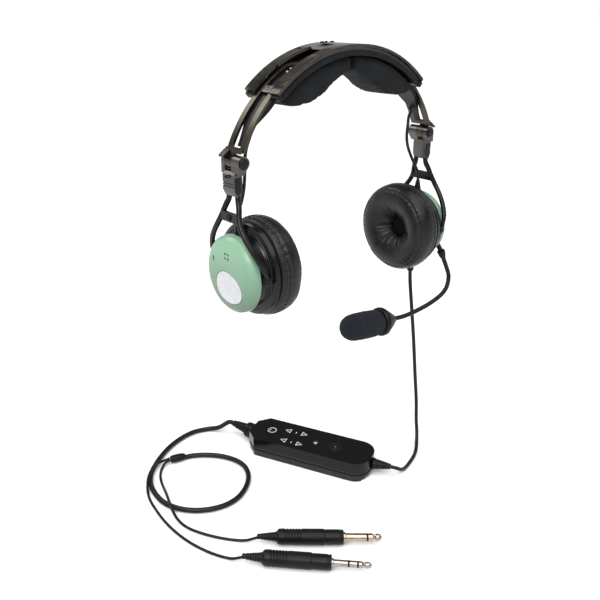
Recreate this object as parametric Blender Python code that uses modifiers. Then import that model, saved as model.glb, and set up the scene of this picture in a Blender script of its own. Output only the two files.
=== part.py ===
"""On-ear aviation headset with its cord set: padded headband, height sliders, folding yokes,
tilting ear cups, boom microphone, control module and two headset plugs.

Metres, +Z up. The origin is the middle of the line between the two ears, where a head holds it.
+X is the wearer's left, -Y the way the wearer faces. The cord set lies on the plane z = FLOOR.
"""

import math

import bmesh
import bpy
from mathutils import Matrix, Vector

# ---------------------------------------------------------------- driving dimensions
GAP = 0.0003            # space kept between touching pieces
MERGE = 0.00001         # merge distance of every modifier that welds points
FLOOR = -0.220          # the surface that the cord set lies on

# headband: concentric layers about an axis along Y at height ARC_Z
ARC_Z = 0.0445
BAND_RADIUS = 0.1090    # middle of the frame's thickness
BAND_THICK = 0.0020
BAND_HALF_WIDTH = 0.019
BAND_END = 47.2         # degrees above the horizontal, both ends
RAIL_INNER = 0.0092     # half the space between the front and rear rail
BRIDGE_HALF = 0.021     # half the length of the plate that joins the rails at the crown
CARRIER_RADIUS = 0.10275
CARRIER_THICK = 0.0015
CARRIER_END = 48.6
CHANNEL_Y = 0.0155      # inner face of the walls between carrier and frame
CHANNEL_THICK = 0.0016
PAD_RADIUS_OUT = 0.1017
PAD_HALF_WIDTH = 0.0155

# sliders
SLIDER_RADIUS = 0.1059
SLIDER_THICK = 0.0020
SLIDER_HALF_WIDTH = 0.0096
SLOT_HALF_WIDTH = 0.0046
SLIDER_LOW, SLIDER_HIGH = 23.7, 67.2
SLOT_LOW, SLOT_HIGH = 25.4, 65.0
STOP_LOW, STOP_HIGH = 48.6, 52.2
STOP_HALF_WIDTH = 0.0040
FLANGE_LOW, FLANGE_HIGH = 23.1, 24.9    # the flange over the strip's lower end
FLANGE_THICK = 0.0016
FLANGE_HALF_WIDTH = 0.0088
WEDGE_Y = (-0.0094, -0.0030)    # the wedge stands over the thin ear

# fold hinge between slider and yoke, axis along Y
HINGE = Vector((0.0977, 0.0, 0.0803))
HINGE_RADIUS = 0.0050
HINGE_BORE = 0.0021
HINGE_PIN = 0.0018
HINGE_HALF_LENGTH = 0.0100
LUG_FRONT, LUG_REAR = -0.0055, 0.0012   # the slider's lug, between the yoke's two ears

# yoke
BLOCK_X = (0.0970, 0.1042)
BLOCK_HALF_WIDTH = 0.0067
BLOCK_TOP, BLOCK_BOTTOM = 0.0745, 0.0573
GROOVES = ((0.0640, 0.0648), (0.0660, 0.0668))  # heights of the two grooves on its outer face
GROOVE_DEPTH = 0.0006
LEG_RADIUS = 0.0021
CROSS_THICK = 0.0034    # the plate that joins the legs
CROSS_X = 0.1034
PIVOT_X = 0.0954        # tilt axis, along Y through the cup
PIVOT_Y = 0.0300        # inner face of the yoke's pivot eyes
EYE_THICK = 0.0024
EYE_RADIUS = 0.0035
BOSS_START = 0.0275     # where a pivot boss begins inside the cup's wall

# ear cup, turned about X
PAD_FACE_X = 0.0636
PAD_BACK_X = 0.0856
CUP_FACE_X = 0.0859
CUP_BACK_X = 0.0994
COVER_FACE_X = 0.1088
COVER_Z = -0.0010       # the cover sits a little below the tilt axis
BADGE_LONG = {"left": 0.0110, "right": 0.0156}      # half the badge's length; the left clears the boom
BADGE_HIGH = 0.0115     # half its height
BADGE_FORWARD = {"left": -0.0034, "right": 0.0021}  # its middle, ahead of the cover's
BADGE_Z = -0.0099
BADGE_LEAN = math.radians(-9)

# control module, in its own frame: u along it, v across it, z up
MODULE_CENTRE = Vector((-0.0043, 0.0241, 0.0))
MODULE_HEADING = -65.1  # degrees about Z
MODULE_HALF = 0.0612
MODULE_HALF_WIDTH = 0.0190
MODULE_TOP = -0.2007
MODULE_SEAM = -0.211
SHELL_WALL = 0.0018
BUTTON_RISE = 0.0006    # how far a button stands out of the casing
BUTTON_STEM = 0.0028    # and how far it reaches into it
CELL_RADIUS = 0.0064
CELL_LENGTH = 0.0480

# cords
MAIN_CORD = 0.0034
PLUG_CORD = 0.0046
LEAD_CORD = 0.0023
CROSS_CORD = 0.0025

LEFT = Matrix.Identity(4)
RIGHT = Matrix.Rotation(math.pi, 4, "Z")
SIDES = (("left", LEFT), ("right", RIGHT))
UPRIGHT = Matrix.Rotation(math.pi / 2, 4, "X")          # a flat outline's (x, y) becomes (X, Z)
SIDEWAYS = Matrix(((0, 0, 1, 0), (1, 0, 0, 0), (0, 1, 0, 0), (0, 0, 0, 1)))  # (x, y) becomes (Y, Z)
MODULE = Matrix.Translation(MODULE_CENTRE) @ Matrix.Rotation(math.radians(MODULE_HEADING), 4, "Z")


# ---------------------------------------------------------------- scene and materials
def clear_scene():
    for obj in list(bpy.data.objects):
        bpy.data.objects.remove(obj, do_unlink=True)


def new_collection(name):
    made = bpy.data.collections.new(name)
    bpy.context.scene.collection.children.link(made)
    return made


clear_scene()
PARTS = new_collection("aviation_headset")
CUTTERS = new_collection("cutters")


def material(name, colour, roughness, metallic=0.0):
    made = bpy.data.materials.new(name)
    made.use_nodes = True
    shader = made.node_tree.nodes["Principled BSDF"]
    shader.inputs["Base Color"].default_value = (*colour, 1.0)
    shader.inputs["Roughness"].default_value = roughness
    shader.inputs["Metallic"].default_value = metallic
    made.diffuse_color = (*colour, 1.0)
    return made


BRONZE = material("bronze_metal", (0.16, 0.14, 0.11), 0.38, 1.0)
GREY = material("grey_metal", (0.26, 0.25, 0.26), 0.4, 1.0)
BLACK_METAL = material("black_metal", (0.03, 0.03, 0.032), 0.42, 0.8)
STEEL = material("screw_steel", (0.62, 0.60, 0.57), 0.3, 1.0)
BLACK_PLASTIC = material("black_plastic", (0.02, 0.02, 0.022), 0.5)
GLOSS_PLASTIC = material("gloss_plastic", (0.012, 0.012, 0.013), 0.15)
GREEN = material("green_cover", (0.30, 0.56, 0.38), 0.4)
WHITE = material("white_badge", (0.85, 0.85, 0.85), 0.35)
LEATHER = material("leatherette", (0.025, 0.025, 0.028), 0.45)
FABRIC = material("pad_fabric", (0.015, 0.018, 0.02), 0.95)
FOAM = material("mic_foam", (0.012, 0.014, 0.018), 1.0)
CORD = material("cord_jacket", (0.03, 0.03, 0.03), 0.55)
BOARD = material("circuit_board", (0.02, 0.16, 0.06), 0.5)
NICKEL = material("plug_metal", (0.75, 0.68, 0.55), 0.25, 1.0)


# ---------------------------------------------------------------- modelling helpers
def add(name, data, finish, place, group):
    obj = bpy.data.objects.new(name, data)
    group.objects.link(obj)
    if not data.materials:
        data.materials.append(finish)
    obj.matrix_world = place
    if group is CUTTERS:
        obj.hide_render = True
        obj.display_type = "WIRE"
    return obj


def turned(name, profile, finish, place, steps=32, ring=False, group=PARTS):
    """A profile of (radius, height) points, down its outer side, turned about local Z."""
    count = len(profile)
    edges = [(i, i + 1) for i in range(count - 1)]
    if ring:
        edges.append((count - 1, 0))
    mesh = bpy.data.meshes.new(name)
    mesh.from_pydata([(r, 0.0, h) for r, h in profile], edges, [])
    obj = add(name, mesh, finish, place, group)
    screw = obj.modifiers.new("Turn", "SCREW")
    screw.steps = steps
    screw.render_steps = steps
    screw.use_merge_vertices = True
    screw.merge_threshold = MERGE
    screw.use_smooth_shade = True
    return obj


def rod(name, radius, length, finish, place, steps=24, group=PARTS):
    """A plain cylinder centred on its place, along local Z."""
    half = length / 2
    return turned(name, [(0, half), (radius, half), (radius, -half), (0, -half)], finish, place,
                  steps, group=group)


def mesh_of_curve(name, curve):
    """The closed mesh of a curve, its loose caps welded to its sides."""
    scratch = bpy.data.objects.new(name, curve)
    PARTS.objects.link(scratch)
    bpy.context.view_layer.update()
    evaluated = scratch.evaluated_get(bpy.context.evaluated_depsgraph_get())
    mesh = bpy.data.meshes.new_from_object(evaluated)
    bpy.data.objects.remove(scratch, do_unlink=True)
    work = bmesh.new()
    work.from_mesh(mesh)
    bmesh.ops.remove_doubles(work, verts=work.verts, dist=MERGE)
    bmesh.ops.recalc_face_normals(work, faces=work.faces)
    work.to_mesh(mesh)
    work.free()
    return mesh


def outline_mesh(name, outlines, thick):
    """A flat outline, with any holes, given a thickness along local Z."""
    curve = bpy.data.curves.new(name, "CURVE")
    curve.dimensions = "2D"
    curve.fill_mode = "BOTH"
    curve.extrude = thick / 2
    for outline in outlines:
        spline = curve.splines.new("POLY")
        spline.points.add(len(outline) - 1)
        for point, (x, y) in zip(spline.points, outline):
            point.co = (x, y, 0.0, 1.0)
        spline.use_cyclic_u = True
    return mesh_of_curve(name, curve)


def plate(name, outlines, thick, finish, place, group=PARTS):
    return add(name, outline_mesh(name, outlines, thick), finish, place, group)


def upright_plate(name, outline, front, rear, finish, side=LEFT, group=PARTS):
    """An outline of (x, z) points that runs from y = front to y = rear."""
    place = side @ Matrix.Translation((0, (front + rear) / 2, 0)) @ UPRIGHT
    return plate(name, [outline], rear - front, finish, place, group)


def bent_plate(name, outlines, thick, radius, step, finish, side=LEFT):
    """An outline of (arc length from the crown, y) points, bent to the headband's arc."""
    mesh = outline_mesh(name, outlines, thick)
    work = bmesh.new()
    work.from_mesh(mesh)
    low = min(x for outline in outlines for x, _ in outline)
    high = max(x for outline in outlines for x, _ in outline)
    count = max(2, round((high - low) / step))
    for i in range(1, count):
        everything = work.verts[:] + work.edges[:] + work.faces[:]
        cut_at = low + (high - low) * i / count
        bmesh.ops.bisect_plane(work, geom=everything, plane_co=(cut_at, 0, 0), plane_no=(1, 0, 0),
                               dist=MERGE)
    for vert in work.verts:
        turn = vert.co.x / radius
        reach = radius + vert.co.z
        vert.co = (reach * math.sin(turn), vert.co.y, ARC_Z + reach * math.cos(turn))
    bmesh.ops.triangulate(work, faces=[f for f in work.faces if len(f.verts) > 4])
    work.to_mesh(mesh)
    work.free()
    return add(name, mesh, finish, side, PARTS)


def smooth_route(points, step):
    """Points a step apart along a smooth curve through the route's own points."""
    route = [Vector(p) for p in points]
    first = route[0] * 2 - route[1]
    last = route[-1] * 2 - route[-2]
    route = [first, *route, last]
    fine = []
    for a, b, c, d in zip(route, route[1:], route[2:], route[3:]):
        span = (c - b).length
        before = (c - a) / ((b - a).length + span) * span
        after = (d - b) / ((d - c).length + span) * span
        pieces = max(2, round(span / step * 4))
        for i in range(pieces):
            t = i / pieces
            fine.append(b * (2 * t**3 - 3 * t**2 + 1) + before * (t**3 - 2 * t**2 + t)
                        + c * (3 * t**2 - 2 * t**3) + after * (t**3 - t**2))
    fine.append(route[-2])
    total = sum((q - p).length for p, q in zip(fine, fine[1:]))
    count = max(2, round(total / step))
    spaced = [fine[0]]
    walked = 0.0
    for p, q in zip(fine, fine[1:]):
        length = (q - p).length
        while len(spaced) < count and walked + length >= total * len(spaced) / count:
            spaced.append(p.lerp(q, (total * len(spaced) / count - walked) / length))
        walked += length
    spaced.append(fine[-1])
    return spaced


def tube_curve(name, points, radius, rounds):
    curve = bpy.data.curves.new(name, "CURVE")
    curve.dimensions = "3D"
    curve.bevel_depth = radius
    curve.bevel_resolution = rounds
    curve.use_fill_caps = True
    spline = curve.splines.new("POLY")
    spline.points.add(len(points) - 1)
    for point, place in zip(spline.points, points):
        point.co = (*place, 1.0)
    return curve


def tube(name, points, radius, finish, side=LEFT, rounds=2):
    return add(name, tube_curve(name, points, radius, rounds), finish, side, PARTS)


def tube_tool(name, points, radius, finish, side=LEFT, rounds=1):
    """A tube as a mesh, for a Boolean modifier."""
    return add(name, mesh_of_curve(name, tube_curve(name, points, radius, rounds)), finish, side, CUTTERS)


def boolean(obj, tool, operation):
    step = obj.modifiers.new(tool.name, "BOOLEAN")
    step.operation = operation
    step.object = tool
    step.solver = "EXACT"


def join(obj, *tools):
    for tool in tools:
        boolean(obj, tool, "UNION")


def cut(obj, *tools):
    for tool in tools:
        boolean(obj, tool, "DIFFERENCE")


def arc(centre_x, centre_y, radius, start, end, count):
    """Points of a circular arc between two angles in degrees."""
    angles = [math.radians(start + (end - start) * i / count) for i in range(count + 1)]
    return [(centre_x + radius * math.cos(a), centre_y + radius * math.sin(a)) for a in angles]


def band_sector(inner, outer, start, end, step=4.0):
    """The (x, z) outline of part of a ring about the headband's axis."""
    count = max(1, round(abs(end - start) / step))
    return arc(0, ARC_Z, outer, start, end, count) + arc(0, ARC_Z, inner, end, start, count)


def arc_length(angle, radius):
    """Distance along the arc from the crown to an angle above the horizontal."""
    return math.radians(90 - angle) * radius


def along(point, direction):
    """A place whose local Z points along the direction."""
    turn = Vector(direction).to_track_quat("Z", "Y").to_matrix().to_4x4()
    return Matrix.Translation(Vector(point)) @ turn


def on_module(u, v, z):
    return MODULE @ Matrix.Translation((u, v, z))


# ---------------------------------------------------------------- headband
def headband_frame():
    end = arc_length(BAND_END, BAND_RADIUS)
    wide, inner, bridge = BAND_HALF_WIDTH, RAIL_INNER, BRIDGE_HALF
    half = [(bridge, inner), (end, inner), (end, wide), (0.0, wide)]
    rear = half + [(-x, y) for x, y in reversed(half[:3])]
    front = [(-x, -y) for x, y in rear]
    window = [(0.009, -0.0045), (0.017, -0.0045), (0.017, 0.0045), (0.009, 0.0045)]
    bent_plate("headband_frame", [rear + front, window, [(-x, y) for x, y in window]], BAND_THICK,
               BAND_RADIUS, 0.0085, BRONZE)


def pad_carrier():
    """The channel under the band: a floor that carries the pads and two side walls."""
    end = arc_length(CARRIER_END, CARRIER_RADIUS)
    wide = CHANNEL_Y + CHANNEL_THICK
    outline = [(-end, -wide), (end, -wide), (end, wide), (-end, wide)]
    carrier = bent_plate("pad_carrier", [outline], CARRIER_THICK, CARRIER_RADIUS, 0.0085, GREY)
    outer = BAND_RADIUS - BAND_THICK / 2 - GAP
    wall = band_sector(CARRIER_RADIUS, outer, BAND_END + 0.5, 179.5 - BAND_END, 5.0)
    join(carrier,
         upright_plate("channel_rear", wall, CHANNEL_Y, wide - 0.0001, GREY, group=CUTTERS),
         upright_plate("channel_front", wall, 0.0001 - wide, -CHANNEL_Y, GREY, group=CUTTERS))


def slider_stop(name, side):
    """The block with its screw that stands in the slider's slot, fixed to the carrier."""
    inner = CARRIER_RADIUS + CARRIER_THICK / 2 + GAP
    outer = SLIDER_RADIUS + SLIDER_THICK / 2 + 0.0004
    outline = band_sector(inner, outer, STOP_LOW, STOP_HIGH)
    half = STOP_HALF_WIDTH
    stop = upright_plate(f"{name}_slider_stop", outline, -half, half, BLACK_METAL, side)
    middle = math.radians((STOP_LOW + STOP_HIGH) / 2)
    out = Vector((math.cos(middle), 0, math.sin(middle)))
    place = side @ along(Vector((0, 0, ARC_Z)) + out * (outer + 0.0002), out)
    join(stop, rod(f"{name}_stop_screw", 0.0021, 0.0016, STEEL, place, 12, group=CUTTERS))


def head_pads():
    """Two foam wedges under the band, thick at their outer ends, meeting at the crown."""
    inner = [(88.9, 0.0915), (84.0, 0.0888), (77.5, 0.0852), (70.0, 0.0820), (64.0, 0.0812),
             (58.5, 0.0832), (54.0, 0.0868), (50.5, 0.0915), (48.2, 0.0970)]
    outline = arc(0, ARC_Z, PAD_RADIUS_OUT, 47.6, 88.9, 9)
    outline += [(r * math.cos(math.radians(a)), ARC_Z + r * math.sin(math.radians(a)))
                for a, r in inner]
    for name, side in SIDES:
        upright_plate(f"{name}_head_pad", outline, -PAD_HALF_WIDTH, PAD_HALF_WIDTH, FABRIC, side)


# ---------------------------------------------------------------- sliders and fold hinges
def slider_strip(name, side):
    """A slotted strip, bent to the band's arc, with a round upper end."""
    low = arc_length(SLIDER_LOW, SLIDER_RADIUS)
    high = arc_length(SLIDER_HIGH, SLIDER_RADIUS)
    wide, slot = SLIDER_HALF_WIDTH, SLOT_HALF_WIDTH
    outline = [(low, -wide), (low, wide)]
    outline += [(high + wide - wide * math.sin(a), wide * math.cos(a))
                for a in (math.radians(180 * i / 10) for i in range(11))]
    slot_low = arc_length(SLOT_LOW, SLIDER_RADIUS)
    slot_high = arc_length(SLOT_HIGH, SLIDER_RADIUS)
    hole = [(slot_low, -slot), (slot_low, slot)]
    hole += [(slot_high + slot - slot * math.sin(a), slot * math.cos(a))
             for a in (math.radians(180 * i / 6) for i in range(7))]
    bent_plate(f"{name}_slider_strip", [outline, hole], SLIDER_THICK, SLIDER_RADIUS, 0.0075,
               BRONZE, side)


def hinge_bore(name, side):
    place = side @ Matrix.Translation(HINGE) @ UPRIGHT
    return rod(f"{name}_hinge_bore", HINGE_BORE, 0.03, BLACK_METAL, place, 16, group=CUTTERS)


def slider_foot(name, side):
    """The flange under the strip's lower end, with the hinge lug and a wedge above the thin ear."""
    outside = SLIDER_RADIUS + SLIDER_THICK / 2 + GAP
    flange = band_sector(outside, outside + FLANGE_THICK, FLANGE_LOW, FLANGE_HIGH, 2.2)
    foot = upright_plate(f"{name}_slider_foot", flange, -FLANGE_HALF_WIDTH, FLANGE_HALF_WIDTH, BRONZE,
                         side)
    lug = arc(HINGE.x, HINGE.z, HINGE_RADIUS, -242, 50, 16)
    lug += [(0.0997, 0.0885), (0.0987, 0.0884), (0.0984, 0.0868)]
    wedge = [(0.0985, 0.0858), (0.1048, 0.0836), (0.1054, 0.0850), (0.0996, 0.0892), (0.0988, 0.0884)]
    join(foot,
         upright_plate(f"{name}_foot_lug", lug, LUG_FRONT, LUG_REAR, BRONZE, side, CUTTERS),
         upright_plate(f"{name}_foot_wedge", wedge, *WEDGE_Y, BRONZE, side, CUTTERS))
    cut(foot, hinge_bore(f"{name}_foot", side))


def hinge_pin(name, side):
    """The pin through the fold hinge, with a domed head at each end."""
    reach = HINGE_HALF_LENGTH + GAP
    profile = [(0, reach + 0.0016), (0.0024, reach + 0.0015), (0.0036, reach + 0.0009), (0.0038, reach),
               (HINGE_PIN, reach), (HINGE_PIN, -reach), (0.0038, -reach), (0.0036, -reach - 0.0009),
               (0.0024, -reach - 0.0015), (0, -reach - 0.0016)]
    turned(f"{name}_hinge_pin", profile, BLACK_METAL, side @ Matrix.Translation(HINGE) @ UPRIGHT, 20)


# ---------------------------------------------------------------- yokes
def yoke_block(name, side):
    """The block below the fold hinge, with a thick rear ear and a thin front ear."""
    inner, outer = BLOCK_X
    body = [(inner, BLOCK_BOTTOM + 0.004), (inner + 0.002, BLOCK_BOTTOM), (outer - 0.002, BLOCK_BOTTOM),
            (outer, BLOCK_BOTTOM + 0.004), (outer, BLOCK_TOP - 0.002), (outer - 0.002, BLOCK_TOP),
            (inner + 0.001, BLOCK_TOP), (inner, BLOCK_TOP - 0.001)]
    ear = arc(HINGE.x, HINGE.z, HINGE_RADIUS, -15, 195, 12)
    ear += [(inner + 0.0005, BLOCK_TOP - 0.002), (outer - 0.0015, BLOCK_TOP - 0.002)]
    width = BLOCK_HALF_WIDTH
    block = upright_plate(f"{name}_yoke_block", body, -width, width, GREY, side)
    join(block,
         upright_plate(f"{name}_ear_rear", ear, LUG_REAR + GAP, HINGE_HALF_LENGTH, GREY, side, CUTTERS),
         upright_plate(f"{name}_ear_front", ear, -HINGE_HALF_LENGTH, LUG_FRONT - GAP, GREY, side, CUTTERS))
    cut(block, hinge_bore(f"{name}_block", side))
    face = side @ Matrix.Translation((outer, 0, 0)) @ SIDEWAYS
    reach = width + 0.002
    for low, high in GROOVES:
        strip = [(-reach, low), (reach, low), (reach, high), (-reach, high)]
        cut(block, plate(f"{name}_groove", [strip], 2 * GROOVE_DEPTH, GREY, face, CUTTERS))


def arm_route(sign):
    """One leg and arm of the yoke, from the block to the pivot eye."""
    points = [(0.1000, 0.0050, 0.0566), (0.1003, 0.0056, 0.0540), (0.1016, 0.0080, 0.0490),
              (0.1034, 0.0102, 0.0425), (0.1046, 0.0138, 0.0360), (0.1045, 0.0192, 0.0290),
              (0.1028, 0.0252, 0.0210), (0.0996, 0.0304, 0.0118), (0.0963, 0.0322, 0.0029)]
    return smooth_route([(x, sign * y, z) for x, y, z in points], 0.0042)


def yoke_frame(name, side):
    """Two legs that part below the block, a cross plate, two arms and two pivot eyes."""
    cross = [(-0.0122, 0.0385), (0.0122, 0.0385), (0.0100, 0.0455), (-0.0100, 0.0455)]
    frame = plate(f"{name}_yoke_frame", [cross], CROSS_THICK, BLACK_METAL,
                  side @ Matrix.Translation((CROSS_X, 0, 0)) @ SIDEWAYS)
    for end, sign in (("front", -1), ("rear", 1)):
        join(frame, tube_tool(f"{name}_{end}_arm", arm_route(sign), LEG_RADIUS, BLACK_METAL, side))
        eye = side @ Matrix.Translation((PIVOT_X, sign * (PIVOT_Y + EYE_THICK / 2), 0)) @ UPRIGHT
        join(frame, rod(f"{name}_{end}_eye", EYE_RADIUS, EYE_THICK, BLACK_METAL, eye, 16, CUTTERS))
        cut(frame, rod(f"{name}_{end}_eye_bore", 0.0017, 0.012, BLACK_METAL, eye, 12, CUTTERS))
    boss = side @ Matrix.Translation((0.1056, 0, 0.0420)) @ Matrix.Rotation(math.pi / 2, 4, "Y")
    join(frame, rod(f"{name}_cross_screw", 0.0026, 0.0024, STEEL, boss, 12, CUTTERS))


def pivot_screws(name, side):
    """The two shoulder screws on the tilt axis."""
    outer = PIVOT_Y + EYE_THICK + GAP
    profile = [(0, outer + 0.0012), (0.0020, outer + 0.0012), (0.0026, outer + 0.0006), (0.0026, outer),
               (0.0014, outer), (0.0014, PIVOT_Y - 0.0001), (0, PIVOT_Y - 0.0001)]
    for end, sign in (("front", 1), ("rear", -1)):
        place = side @ Matrix.Translation((PIVOT_X, 0, 0)) @ Matrix.Rotation(sign * math.pi / 2, 4, "X")
        turned(f"{name}_{end}_pivot_screw", profile, STEEL, place, 12)


# ---------------------------------------------------------------- ear cups
def facing_head(side, x):
    return side @ Matrix.Translation((x, 0, 0)) @ Matrix.Rotation(-math.pi / 2, 4, "Y")


def facing_out(side, x):
    return side @ Matrix.Translation((x, 0, 0)) @ Matrix.Rotation(math.pi / 2, 4, "Y")


def ear_pad(name, side):
    """A round cushion with a dished face that falls to a small hole in its middle."""
    depth = PAD_BACK_X - PAD_FACE_X
    profile = [(0.0080, 0.0100), (0.0110, 0.0140), (0.0160, 0.0185), (0.0220, depth - 0.0006),
               (0.0265, depth), (0.0320, depth - 0.0014), (0.0362, 0.0170), (0.0380, 0.0110),
               (0.0376, 0.0055), (0.0360, 0.0015), (0.0345, 0.0), (0.0080, 0.0)]
    turned(f"{name}_ear_pad", profile, LEATHER, facing_head(side, PAD_BACK_X), ring=True)


def speaker(name, side):
    """The baffle that closes the cup behind the pad, with the driver's can behind it."""
    can, rim = 0.0170, 0.0322
    profile = [(0, 0.0), (rim, 0.0), (rim, -0.0012), (can, -0.0012), (can, -0.0060), (0.012, -0.0080),
               (0, -0.0080)]
    turned(f"{name}_speaker", profile, BLACK_PLASTIC, facing_head(side, CUP_FACE_X + 0.0006))


def cup_housing(name, side):
    """The open cup for the speaker, with a boss for each pivot screw and a gland on top."""
    depth = CUP_BACK_X - CUP_FACE_X
    profile = [(0, 0.0018), (0.0255, 0.0018), (0.0272, 0.0060), (0.0280, 0.0088), (0.0330, 0.0102),
               (0.0330, depth), (0.0350, depth), (0.0356, 0.0118), (0.0342, 0.0092), (0.0296, 0.0078),
               (0.0286, 0.0066), (0.0280, 0.0010), (0.0270, 0.0), (0, 0.0)]
    cup = turned(f"{name}_cup_housing", profile, BLACK_PLASTIC, facing_head(side, CUP_BACK_X))
    for end, sign in (("front", -1), ("rear", 1)):
        length = PIVOT_Y - GAP - BOSS_START
        place = side @ Matrix.Translation((PIVOT_X, sign * (BOSS_START + length / 2), 0)) @ UPRIGHT
        join(cup, rod(f"{name}_{end}_boss", 0.0032, length, BLACK_PLASTIC, place, 12, CUTTERS))
    gland = [(0, 0.0116), (0.0017, 0.0116), (0.0024, 0.0086), (0.0030, 0.0), (0, 0.0)]
    place = side @ Matrix.Translation((0.0940, -0.0035, 0.0275))
    join(cup, turned(f"{name}_cable_gland", gland, BLACK_PLASTIC, place, 12, group=CUTTERS))


def cup_cover(name, side):
    """The shallow coloured shell over the back of the cup."""
    depth = COVER_FACE_X - CUP_BACK_X - GAP
    profile = [(0, depth), (0.0180, depth - 0.0001), (0.0240, depth - 0.0010), (0.0275, depth - 0.0030),
               (0.0292, 0.0036), (0.0294, 0.0), (0.0276, 0.0), (0.0274, 0.0028), (0.0240, depth - 0.0030),
               (0, depth - 0.0018)]
    place = Matrix.Translation((0, 0, COVER_Z)) @ facing_out(side, CUP_BACK_X + GAP)
    turned(f"{name}_cup_cover", profile, GREEN, place)


def cup_badge(name, side):
    """A plain egg-shaped plate on the lower half of the cover, blunter towards the back."""
    front = 1 if name == "right" else -1
    outline = []
    for i in range(28):
        a = 2 * math.pi * i / 28
        ahead = BADGE_LONG[name] * math.cos(a)
        up = BADGE_HIGH * math.sin(a) * (1 - 0.10 * math.cos(a))
        forward = ahead * math.cos(BADGE_LEAN) - up * math.sin(BADGE_LEAN) + BADGE_FORWARD[name]
        outline.append((front * forward, ahead * math.sin(BADGE_LEAN) + up * math.cos(BADGE_LEAN)))
    centre = Matrix.Translation((COVER_FACE_X + GAP + 0.0004, 0, BADGE_Z))
    plate(f"{name}_cup_badge", [outline], 0.0008, WHITE, side @ centre @ SIDEWAYS)


CABLE_UNDER_SLIDER = [(0.0714, 0.0012, 0.1186), (0.0754, 0.0012, 0.1124), (0.0812, 0.0012, 0.1034)]
CABLE_TO_CUP = [(0.0932, -0.0010, 0.0500), (0.0940, -0.0026, 0.0460), (0.0940, -0.0034, 0.0425),
                (0.0940, -0.0035, 0.0395)]
CABLE_PAST_HINGE = {
    "left": [(0.0826, 0.0014, 0.0950), (0.0822, 0.0015, 0.0870), (0.0815, 0.0015, 0.0790),
             (0.0832, 0.0014, 0.0700), (0.0880, 0.0008, 0.0600)],
    "right": [(0.0862, 0.0014, 0.0950), (0.0892, 0.0015, 0.0880), (0.0906, 0.0015, 0.0800),
              (0.0910, 0.0014, 0.0700), (0.0918, 0.0008, 0.0600)],
}


def crossover_cable(name, side):
    """The thin cable from under the band, past the hinge, into the top of the cup."""
    route = smooth_route(CABLE_UNDER_SLIDER + CABLE_PAST_HINGE[name] + CABLE_TO_CUP, 0.0042)
    tube(f"{name}_crossover_cable", route, CROSS_CORD / 2, CORD, side)


# ---------------------------------------------------------------- boom microphone
BOOM_HUB = Vector((COVER_FACE_X + GAP, -0.0150, -0.0170))   # where the boom swivels on the cover
BOOM_ROUTE = [(0.1112, -0.0240, -0.0300), (0.1152, -0.0256, -0.0400), (0.1178, -0.0272, -0.0490),
              (0.1140, -0.0290, -0.0585), (0.1050, -0.0300, -0.0640), (0.0900, -0.0290, -0.0690),
              (0.0750, -0.0264, -0.0728), (0.0620, -0.0244, -0.0745), (0.0512, -0.0228, -0.0743)]
MIC_START, MIC_END = Vector((0.0509, -0.02275, -0.07428)), Vector((-0.0098, -0.0210, -0.0668))


def boom():
    """Swivel sleeve on the cover's lower edge, gooseneck, microphone body and foam windscreen."""
    route = smooth_route(BOOM_ROUTE, 0.0065)
    start = (route[1] - route[0]).normalized()
    profile = [(0, 0.0), (0.0026, 0.0), (0.0034, -0.0035), (0.0036, -0.0066), (0, -0.0066)]
    sleeve = turned("boom_sleeve", profile, BLACK_PLASTIC, along(route[0] - start * GAP, start), 16)
    hub = Matrix.Translation(BOOM_HUB + Vector((0.0019, 0, 0))) @ Matrix.Rotation(math.pi / 2, 4, "Y")
    neck = [BOOM_HUB + Vector((0.0026, 0, 0)), route[0] - start * 0.0050]
    join(sleeve, rod("boom_hub", 0.0046, 0.0038, BLACK_PLASTIC, hub, 20, CUTTERS),
         tube_tool("boom_neck", neck, 0.0022, BLACK_PLASTIC))
    tube("boom_gooseneck", route, 0.0021, BLACK_METAL)
    heading = MIC_END - MIC_START
    length = heading.length
    at_start = along(MIC_START, heading)
    body = [(0, 0.0205), (0.0090, 0.0205), (0.0118, 0.0200), (0.0126, 0.0172), (0.0120, 0.0148),
            (0.0104, 0.0140), (0.0092, 0.0100), (0.0060, 0.0048), (0.0044, 0.0018), (0.0030, 0.0),
            (0, 0.0)]
    turned("mic_body", body, BLACK_PLASTIC, at_start, 24)
    foam = [(0, length), (0.0042, length - 0.0006), (0.0084, length - 0.0034), (0.0108, length - 0.0086),
            (0.0116, length - 0.0170), (0.0114, 0.0275), (0.0104, 0.0210), (0, 0.0208)]
    turned("mic_windscreen", foam, FOAM, at_start, 24)


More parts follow.
